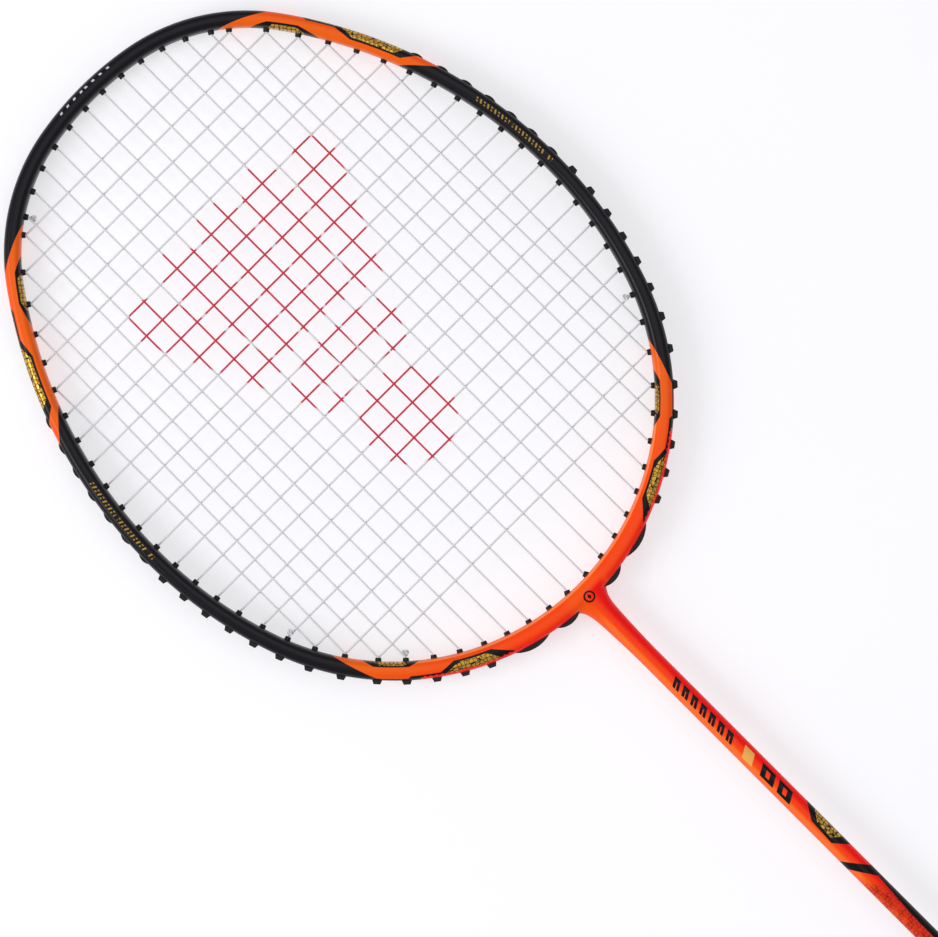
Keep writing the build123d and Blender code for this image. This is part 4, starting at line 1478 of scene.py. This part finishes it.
    def build(self, fibre: Material) -> None:
        """Lay both strings through their holes in stringing order and tie them off."""
        mains: list[tuple[Hole, Hole]] = []
        for number in range(self.mains_per_side, 0, -1):
            ends = (self.hole_at_throat(number, 1), self.hole_at_tip(number, 1))
            mains.append(ends if number % 2 else ends[::-1])
        for number in range(1, self.mains_per_side + 1):
            ends = (self.hole_at_tip(number, -1), self.hole_at_throat(number, -1))
            mains.append(ends if number % 2 else ends[::-1])
        crosses: list[tuple[Hole, Hole]] = []
        for number in range(1, self.cross_count + 1):
            ends = (self.hole_across(number, 1), self.hole_across(number, -1))
            crosses.append(ends if number % 2 else ends[::-1])
        main_ties = [self.hole_across(self.main_tie_cross, side) for side in SIDES]
        cross_ties = [
            self.hole_at_tip(self.cross_tie_mains[0], 1),
            self.hole_at_throat(self.cross_tie_mains[1], 1),
        ]
        for layer, name, runs, ties in (
            (Layer.MAIN, "main", mains, main_ties),
            (Layer.CROSS, "cross", crosses, cross_ties),
        ):
            flat = self.rounded(*self.corners(runs, *ties))
            route = np.column_stack([flat, self.height(flat, layer)])
            dress(self.strand(f"{name}_string_woven", route), fibre, [f"{name}_string"])
            rings = np.concatenate([self.knot(hole, layer) for hole in ties])
            values = {
                "along": np.tile(np.arange(self.knot_rings) * 0.09, len(ties))[:, None],
                "around": (np.arange(self.knot_sides) / self.knot_sides)[None, :],
            }
            tied = closed_skin(f"{name}_knots_tied", rings, values, loop=True, copies=len(ties))
            dress(tied, fibre, [f"{name}_knots"])


# ------------------------------------------------------------------------------------------ shaft
@dataclass
class ThroatAndShaft:
    """Slim round shaft that swells into the hoop through a smooth concave throat, as one skin."""

    radius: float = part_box("shaft")[1].y
    start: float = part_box("shaft")[0].x
    hoop_back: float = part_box("head_frame")[0].x
    flare_length: float = 27.0 * MM
    swell: float = 1.05 * MM
    wing: float = 2.35 * MM
    wing_decay: float = 2.3 * MM
    thickening: float = 1.1 * MM
    crown: float = 0.57 * MM
    overlap: float = 3.0 * MM
    around: int = 56

    def build(self, lacquer: Material) -> None:
        """Carry an ellipse along the shaft.

        With d the distance before the hoop's back: the half width is the shaft's radius, plus the swell
        times the flare's share to the power 1.4, plus the wing times e to the power minus d over its
        decay. The half thickness is the radius plus the thickening times the share squared, and past the
        hoop's back it rises by the crown as a quarter sine.
        """
        plain = np.linspace(self.start, self.hoop_back - self.flare_length, 90)
        flare = self.hoop_back - self.flare_length * (1 - np.linspace(0, 1, 54)[1:] ** 0.8)
        inside = self.hoop_back + self.overlap * np.linspace(0, 1, 12)[1:]
        x = np.concatenate([plain, flare, inside])
        distance = self.hoop_back - x
        share = np.clip(1 - distance / self.flare_length, 0.0, 1.2)
        wing = self.wing * np.exp(-np.maximum(distance, -self.overlap) / self.wing_decay)
        width = self.radius + self.swell * share**1.4 + wing
        past = np.clip(-distance / self.overlap, 0.0, 1.0)
        depth = self.radius + self.thickening * np.minimum(share, 1.0) ** 2
        depth = depth + self.crown * np.sin(past * math.pi / 2)
        piece = closed_skin("shaft_and_throat_skin", turned(x, width, depth, self.around))
        dress(piece, lacquer, ["shaft", "throat_cone"])


# ------------------------------------------------------------------------------------------ handle
@dataclass
class EightSides:
    """Rounded eight-sided section of the handle."""

    half_width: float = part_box("handle_core")[1].y
    half_thickness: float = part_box("handle_core")[1].z
    corner_share: float = 0.29
    crispness: float = 26.0

    def radius(self, angle: Array, grow: Array | float) -> Array:
        """Distance from the axis to the section, grown outwards.

        Each face asks for the cosine of the angle to it over its own distance; the distance returned is
        one over the crispness-norm of those that are above zero, which rounds the eight edges.

        Args:
            angle: angles round the handle.
            grow: how far the section is grown.

        Returns:
            The distances.
        """
        cut = self.corner_share * 2 * self.half_thickness
        slant = (self.half_width + self.half_thickness - cut) / math.sqrt(2)
        faces = np.arange(8) * math.pi / 4
        reach = np.array([self.half_width, slant, self.half_thickness, slant] * 2)
        wanted = np.maximum(np.cos(angle[..., None] - faces), 0.0) / (reach + np.asarray(grow)[..., None])
        return (wanted**self.crispness).sum(axis=-1) ** (-1 / self.crispness)

    def place(self, x: Array, angle: Array, grow: Array | float) -> Array:
        """Points on the grown section at an angle from +Y towards +Z.

        Args:
            x: places along the handle.
            angle: angles round it.
            grow: how far the section is grown.

        Returns:
            Points, three numbers each.
        """
        reach = self.radius(angle, np.broadcast_to(grow, angle.shape))
        along = np.broadcast_to(x, angle.shape)
        return np.stack([along, reach * np.cos(angle), reach * np.sin(angle)], axis=-1)


@dataclass
class Handle:
    """Wrapped handle: grip strip, finishing tape, cone cap, butt cap and badge."""

    sides: EightSides
    grip_start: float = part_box("base_grip")[0].x
    grip_end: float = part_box("base_grip")[1].x
    tape_start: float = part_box("finishing_tape")[0].x
    butt_length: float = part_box("butt_cap")[1].x
    grip_thickness: float = 1.7 * MM
    edge_thickness: float = 0.35 * MM
    strip_width: float = 25.0 * MM
    strip_overlap: float = 3.0 * MM
    butt_flare: float = 1.55 * MM
    butt_skirt: float = 0.55 * MM
    fit: float = 0.05 * MM
    around: int = 96
    path_radius: float = 13.4 * MM
    rows_per_turn: int = 104
    end_tail: float = 2.0 * MM
    lap_lead: float = 1.5 * MM
    lap_turn: float = 0.12
    lap_clearance: float = 0.02
    bevel: float = 0.1 * MM
    bevel_width: float = 0.5 * MM
    sheet_share: float = 0.88
    tape_thickness: float = 0.25 * MM
    tape_rise: float = 0.50 * MM
    tape_drape: float = 0.05 * MM
    tape_lap: float = 0.12 * MM
    tape_lap_angle: float = 0.4
    cone_tip: float = 5.1 * MM
    cone_fall: float = 1.55
    cone_belly: float = 0.12
    cone_beads: tuple[float, ...] = (0.70, 0.78, 0.86)
    cone_bead_width: float = 0.011
    cone_bead_depth: float = 0.38 * MM
    cone_foot: float = 0.022
    cone_foot_drop: float = 0.7 * MM
    cone_lip: float = 0.025
    cone_lip_round: float = 1.0 * MM
    cone_bore: float = 3.62 * MM
    cone_socket: float = 8.6 * MM
    cone_seat: float = 4.0 * MM
    cone_socket_depth: float = 11.0 * MM
    badge_recess: tuple[float, float] = (8.55 * MM, 7.05 * MM)
    butt_points: int = 160
    butt_round: float = 1.1
    butt_wall: float = 0.06 * MM

    def under_grip(self, x: Array) -> Array:
        """Growth of what lies under the grip: the butt cap's flare, then a long taper to the core.

        Args:
            x: places along the handle.

        Returns:
            How far the eight-sided section is grown.
        """
        places = [self.grip_start, self.butt_length, self.grip_end]
        return np.interp(x, places, [self.butt_flare, self.butt_skirt, 0.0]) + self.fit

    def edge_rise(self, distance: Array) -> Array:
        """Strip's thickness at a distance from its edge: thin at the edge, full after the overlap."""
        rise = smoothstep(distance / self.strip_overlap)
        return self.edge_thickness + (self.grip_thickness - self.edge_thickness) * rise

    def build_grip(self, film: Material) -> None:
        """Wind the strip round the handle so that each turn laps over the last.

        The strip's middle moves one pitch along the handle for each turn, its edges stop at the grip's
        ends, and where the turn before lies beneath it the strip is lifted by a smooth step.
        """
        pitch = self.strip_width - self.strip_overlap
        start = self.grip_start - self.strip_width / 2 + self.end_tail
        end = self.grip_end + self.strip_width / 2 - self.end_tail
        turns = (end - start) / pitch
        wound = np.linspace(0, FULL_TURN * turns, int(turns * self.rows_per_turn))
        middle = start + pitch * wound / FULL_TURN
        share = np.concatenate([[0.0, 0.012, 0.03], np.linspace(0.06, 0.94, 17), [0.97, 0.988, 1.0]])
        low = np.maximum(middle - self.strip_width / 2, self.grip_start)[:, None]
        high = np.minimum(middle + self.strip_width / 2, self.grip_end)[:, None]
        x = low + (high - low) * share[None, :]
        before = (middle - pitch + self.strip_width / 2)[:, None] - x
        has_before = smoothstep((wound - FULL_TURN) / self.lap_turn + 0.5)[:, None]
        lift = smoothstep((before + self.lap_lead) / (self.strip_overlap + self.lap_lead)) * has_before
        lift = (1 + self.lap_clearance) * self.grip_thickness * lift
        from_low = x - (middle - self.strip_width / 2)[:, None]
        from_high = (middle + self.strip_width / 2)[:, None] - x
        thickness = np.minimum(self.edge_rise(from_low), self.edge_rise(from_high))
        edge = np.minimum(share, 1 - share)[None, :] * self.strip_width
        thickness = thickness - self.bevel * (1 - smoothstep(edge / self.bevel_width))
        base = self.under_grip(x) + lift + self.lap_clearance * MM
        angle = np.broadcast_to(-wound[:, None], x.shape)
        bottom = self.sides.place(x, angle, base)
        top = self.sides.place(x, angle, base + thickness)
        rings = np.concatenate([bottom, top[:, ::-1]], axis=1)
        length = wound * self.path_radius / MM
        across = (x - middle[:, None]) / MM
        values = {
            "along": np.broadcast_to(length[:, None], (length.size, 2 * share.size)),
            "across": np.concatenate([across, across[:, ::-1]], axis=1),
        }
        piece = closed_skin("grip_strip", rings, values)
        dress(piece, film, ["base_grip"])
        flat_length = turns * FULL_TURN * self.path_radius
        self.sheet_share * self.strip_width * flat_length

    def build_tape(self, film: Material) -> None:
        """Wrap two turns of tape over the grip's end: a thin band whose outer turn ends in a small step."""
        angle = np.linspace(0, FULL_TURN, 145)[:-1]
        x = np.linspace(self.tape_start, self.grip_end, 15)
        across = np.concatenate([x, x[::-1]])
        lapped = smoothstep((angle - self.tape_lap_angle) / 0.05) * self.tape_lap
        top = self.grip_thickness + self.tape_rise
        drape = np.sin((x - self.tape_start) / (self.grip_end - self.tape_start) * math.pi) ** 0.5
        outer = top + self.tape_drape * drape
        grow = np.concatenate([np.full(x.size, top - self.tape_thickness), outer[::-1]])
        base = self.under_grip(across)
        rings = self.sides.place(
            across[None, :],
            np.broadcast_to(angle[:, None], (angle.size, across.size)),
            base[None, :] + grow[None, :] + np.where(np.arange(across.size) >= x.size, lapped[:, None], 0.0),
        )
        piece = closed_skin("finishing_tape_band", rings, loop=True)
        dress(piece, film, ["finishing_tape"])

    def build_cone(self, plastic: Material) -> None:
        """Turn the cone cap: a concave fall from the grip to the shaft, with three rings and a round lip."""
        low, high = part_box("cone_cap")
        share = np.linspace(0, 1, 120)
        fall = (1 - share) ** self.cone_fall * (1 - self.cone_belly * np.sin(share * math.pi))
        radius = self.cone_tip + (high.y - self.cone_tip) * fall
        beads = sum(np.exp(-(((share - place) / self.cone_bead_width) ** 2)) for place in self.cone_beads)
        radius = radius - self.cone_bead_depth * beads
        foot = np.sqrt(np.clip(1 - (1 - np.minimum(share / self.cone_foot, 1)) ** 2, 0, 1))
        radius = radius - self.cone_foot_drop * (1 - foot)
        past_lip = np.clip((share - 1 + self.cone_lip) / self.cone_lip, 0, 1)
        lip = self.cone_lip_round * (1 - np.sqrt(np.clip(1 - past_lip**2, 0, 1)))
        socket_end, bore, socket = low.x + self.cone_socket_depth, self.cone_bore, self.cone_socket
        x = low.x + share * (high.x - low.x)
        profile_x = np.concatenate([[low.x], x, [high.x, high.x - self.cone_seat, socket_end, socket_end]])
        profile_r = np.concatenate([[socket], radius - lip, [bore, bore, bore, socket]])
        rings = turned(profile_x, profile_r, profile_r, self.around)
        piece = closed_skin("cone_cap_turned", rings, loop=True)
        dress(piece, plastic, ["cone_cap"])

    def build_butt(self, plastic: Material) -> None:
        """Mould the butt cap: a shallow dish round the badge's recess, a round rim and a skirt."""
        angle = np.arange(self.butt_points) / self.butt_points * FULL_TURN
        wide, tall = self.badge_recess
        badge = wide * tall / np.hypot(tall * np.cos(angle), wide * np.sin(angle))
        rim = self.butt_flare

        def ring(x: float, mix: float, grow: float) -> Array:
            """Ring between the badge's ellipse and the grown eight-sided section."""
            reach = badge * (1 - mix) + self.sides.radius(angle, np.full(angle.shape, grow)) * mix
            return np.stack([np.full(angle.shape, x), reach * np.cos(angle), reach * np.sin(angle)], axis=-1)

        steps = [(0.86, 0.0, rim), (0.80, 0.0, rim), (0.28, 0.002, rim), (0.14, 0.03, rim), (0.20, 0.12, rim)]
        steps += [(0.30, 0.35, rim), (0.22, 0.6, rim), (0.06, 0.82, rim), (0.0, 0.9, rim)]
        for turn in np.linspace(0, math.pi / 2, 7):
            grow = rim - self.butt_round * MM * (1 - math.sin(turn))
            steps.append((self.butt_round * (1 - math.cos(turn)), 1.0, grow))
        length = self.butt_length / MM
        steps += [(5.0, 1.0, rim - 0.2 * MM), (length, 1.0, self.butt_skirt), (length, 1.0, self.butt_wall)]
        steps += [(3.0, 1.0, self.butt_wall), (2.96, 0.4, 0.0)]
        rings = np.stack([ring(x * MM, mix, grow) for x, mix, grow in steps])
        piece = closed_skin("butt_cap_moulded", rings)
        dress(piece, plastic, ["butt_cap"])

    def build_badge(self, metal: Material) -> None:
        """Press the badge: an ellipse whose face is gently domed inwards from a rolled edge."""
        low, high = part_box("butt_badge")
        share = np.array([0.02, 0.3, 0.6, 0.8, 0.9, 0.95, 0.985, 1.0, 1.0, 0.97, 0.5, 0.02])
        depth = np.array([0.20, 0.19, 0.15, 0.08, 0.03, 0.02, 0.06, 0.16, 0.62, 0.78, 0.78, 0.78])
        rings = turned(low.x + depth * MM, high.y * share, high.z * share, self.around)
        piece = closed_skin("butt_badge_pressed", rings)
        dress(piece, metal, ["butt_badge"])

    def build(self) -> None:
        """Build every part of the handle."""
        self.build_grip(GripFilm().material())
        self.build_tape(TapeFilm().material())
        self.build_cone(MouldedPlastic().material())
        self.build_butt(MouldedPlastic("butt_plastic", tone(24, 24, 26), tone(44, 44, 47), 0.4).material())
        self.build_badge(BadgeMetal().material())


# ------------------------------------------------------------------------------------------ kept CAD nodes
@dataclass(frozen=True)
class KeptNodes:
    """CAD nodes that stay, with their finishes."""

    places: tuple[str, ...] = ("corner", "dome", "saddle", "throat_inner", "throat_outer")
    others: tuple[tuple[Finish, tuple[str, ...]], ...] = (
        (BrightSteel(), ("shaft_pin", "butt_brads")),
        (CoreWood(), ("handle_core",)),
        (WovenResin(), ("t_joint",)),
    )

    def dress(self) -> None:
        """Put a finish on every slot of each node."""
        grommets = ("tip_grommet_strip", *[f"{place}_grommets" for place in self.places])
        for finish, names in ((Nylon(), grommets), *self.others):
            material = finish.material()
            for name in names:
                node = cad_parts[name]
                for slot in node.material_slots:
                    slot.material = material
                if not node.material_slots:
                    node.data.materials.append(material)
                LOG.info("%s: %s", name, material.name)


# ------------------------------------------------------------------------------------------ studio
@dataclass
class Studio:
    """Pale floor that the racket rests on, soft lights and the camera."""

    low: float
    lens: float = 200.0
    sensor: float = 36.0
    view_width: float = 0.3234
    view_x: float = 0.4873
    view_y: float = -0.0018
    view_turn: float = math.radians(-134.95)
    floor_size: float = 9.0
    clearance: float = 0.8 * MM
    glow: Colour = (0.985, 0.98, 1.0, 1.0)
    glow_strength: float = 0.575
    surround: Colour = (0.97, 0.97, 1.0, 1.0)
    surround_strength: float = 0.52

    def build_floor(self) -> None:
        """Lay a plane that touches the handle's underside and the tip of the hoop."""
        hoop_low, hoop_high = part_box("head_frame")
        rise = hoop_low.z - self.low
        tilt = math.atan2(rise, hoop_high.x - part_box("butt_cap")[1].x)
        ends = np.array([-1.0, 1.0]) * self.floor_size / 2
        x, y = np.meshgrid(ends + hoop_high.x / 2, ends, indexing="ij")
        z = hoop_low.z - self.clearance - (hoop_high.x - x) * math.tan(tilt)
        mesh = bpy.data.meshes.new("floor")
        corners = np.stack([x, y, z], axis=-1).reshape(-1, 3)
        mesh.from_pydata(corners.tolist(), [], [[0, 2, 3, 1]])
        floor = bpy.data.objects.new("floor", mesh)
        bpy.context.scene.collection.objects.link(floor)
        graph = Graph("floor_paper")
        speckle = graph.noise(graph.place(), 0.01, 2.0)
        paper = graph.blend(speckle, tone(178, 178, 181), tone(175, 175, 178))
        glow = {"Emission_Color": self.glow, "Emission_Strength": self.glow_strength}
        mesh.materials.append(graph.surface(Base_Color=paper, Roughness=0.9, **glow))

    def add_light(self, name: str, place: Vector, aim: Vector, size: float, energy: float) -> None:
        """Hang a square soft light and turn it towards its aim.

        Args:
            name: the light's name.
            place, aim: where it hangs and looks.
            size: its side.
            energy: its power.
        """
        data = bpy.data.lights.new(name, "AREA")
        data.size, data.energy = size, energy
        light = bpy.data.objects.new(name, data)
        light.location = place
        light.rotation_euler = (aim - place).to_track_quat("-Z", "Y").to_euler()
        bpy.context.scene.collection.objects.link(light)

    def build_lights(self) -> None:
        """Key light from the left of the view, a broad fill from above and an even pale surround."""
        aim = Vector((self.view_x, self.view_y, 0.0))
        left = Vector((1.0, 1.0, 0.0)).normalized()
        up = Vector((1.0, -1.0, 0.0)).normalized()
        key = aim + left * 1.25 - up * 0.35 + Vector((0.0, 0.0, 1.15))
        top = aim + up * 0.6 - left * 0.3 + Vector((0.0, 0.0, 2.4))
        self.add_light("key", key, aim, 0.9, 15.0)
        self.add_light("top", top, aim, 1.8, 12.0)
        world = bpy.data.worlds.new("surround")
        world.use_nodes = True
        ground = world.node_tree.nodes["Background"]
        ground.inputs["Color"].default_value = self.surround
        ground.inputs["Strength"].default_value = self.surround_strength
        bpy.context.scene.world = world

    def build_camera(self) -> None:
        """Stand a long lens straight above the racket."""
        data = bpy.data.cameras.new("camera")
        data.lens, data.sensor_width = self.lens, self.sensor
        camera = bpy.data.objects.new("camera", data)
        distance = self.view_width * self.lens / self.sensor
        camera.location = (self.view_x, self.view_y, distance)
        camera.rotation_euler = (0.0, 0.0, self.view_turn)
        bpy.context.scene.collection.objects.link(camera)
        bpy.context.scene.camera = camera
        bpy.context.scene.view_settings.view_transform = "Standard"

    def build(self) -> None:
        """Build the whole studio."""
        self.build_camera()
        self.build_floor()
        self.build_lights()


def main() -> None:
    """Build the studio and every part of the racket."""
    logging.basicConfig(level=logging.INFO, format="%(name)s %(message)s")
    Studio(CAD_BOX[0].z).build()
    outline = HoopOutline()
    Hoop(outline).build(HoopLacquer().material())
    ThroatAndShaft().build(ShaftLacquer().material())
    Stringing(outline).build(StringFibre().material())
    Handle(EightSides()).build()
    KeptNodes().dress()


if __name__ == "__main__":
    main()
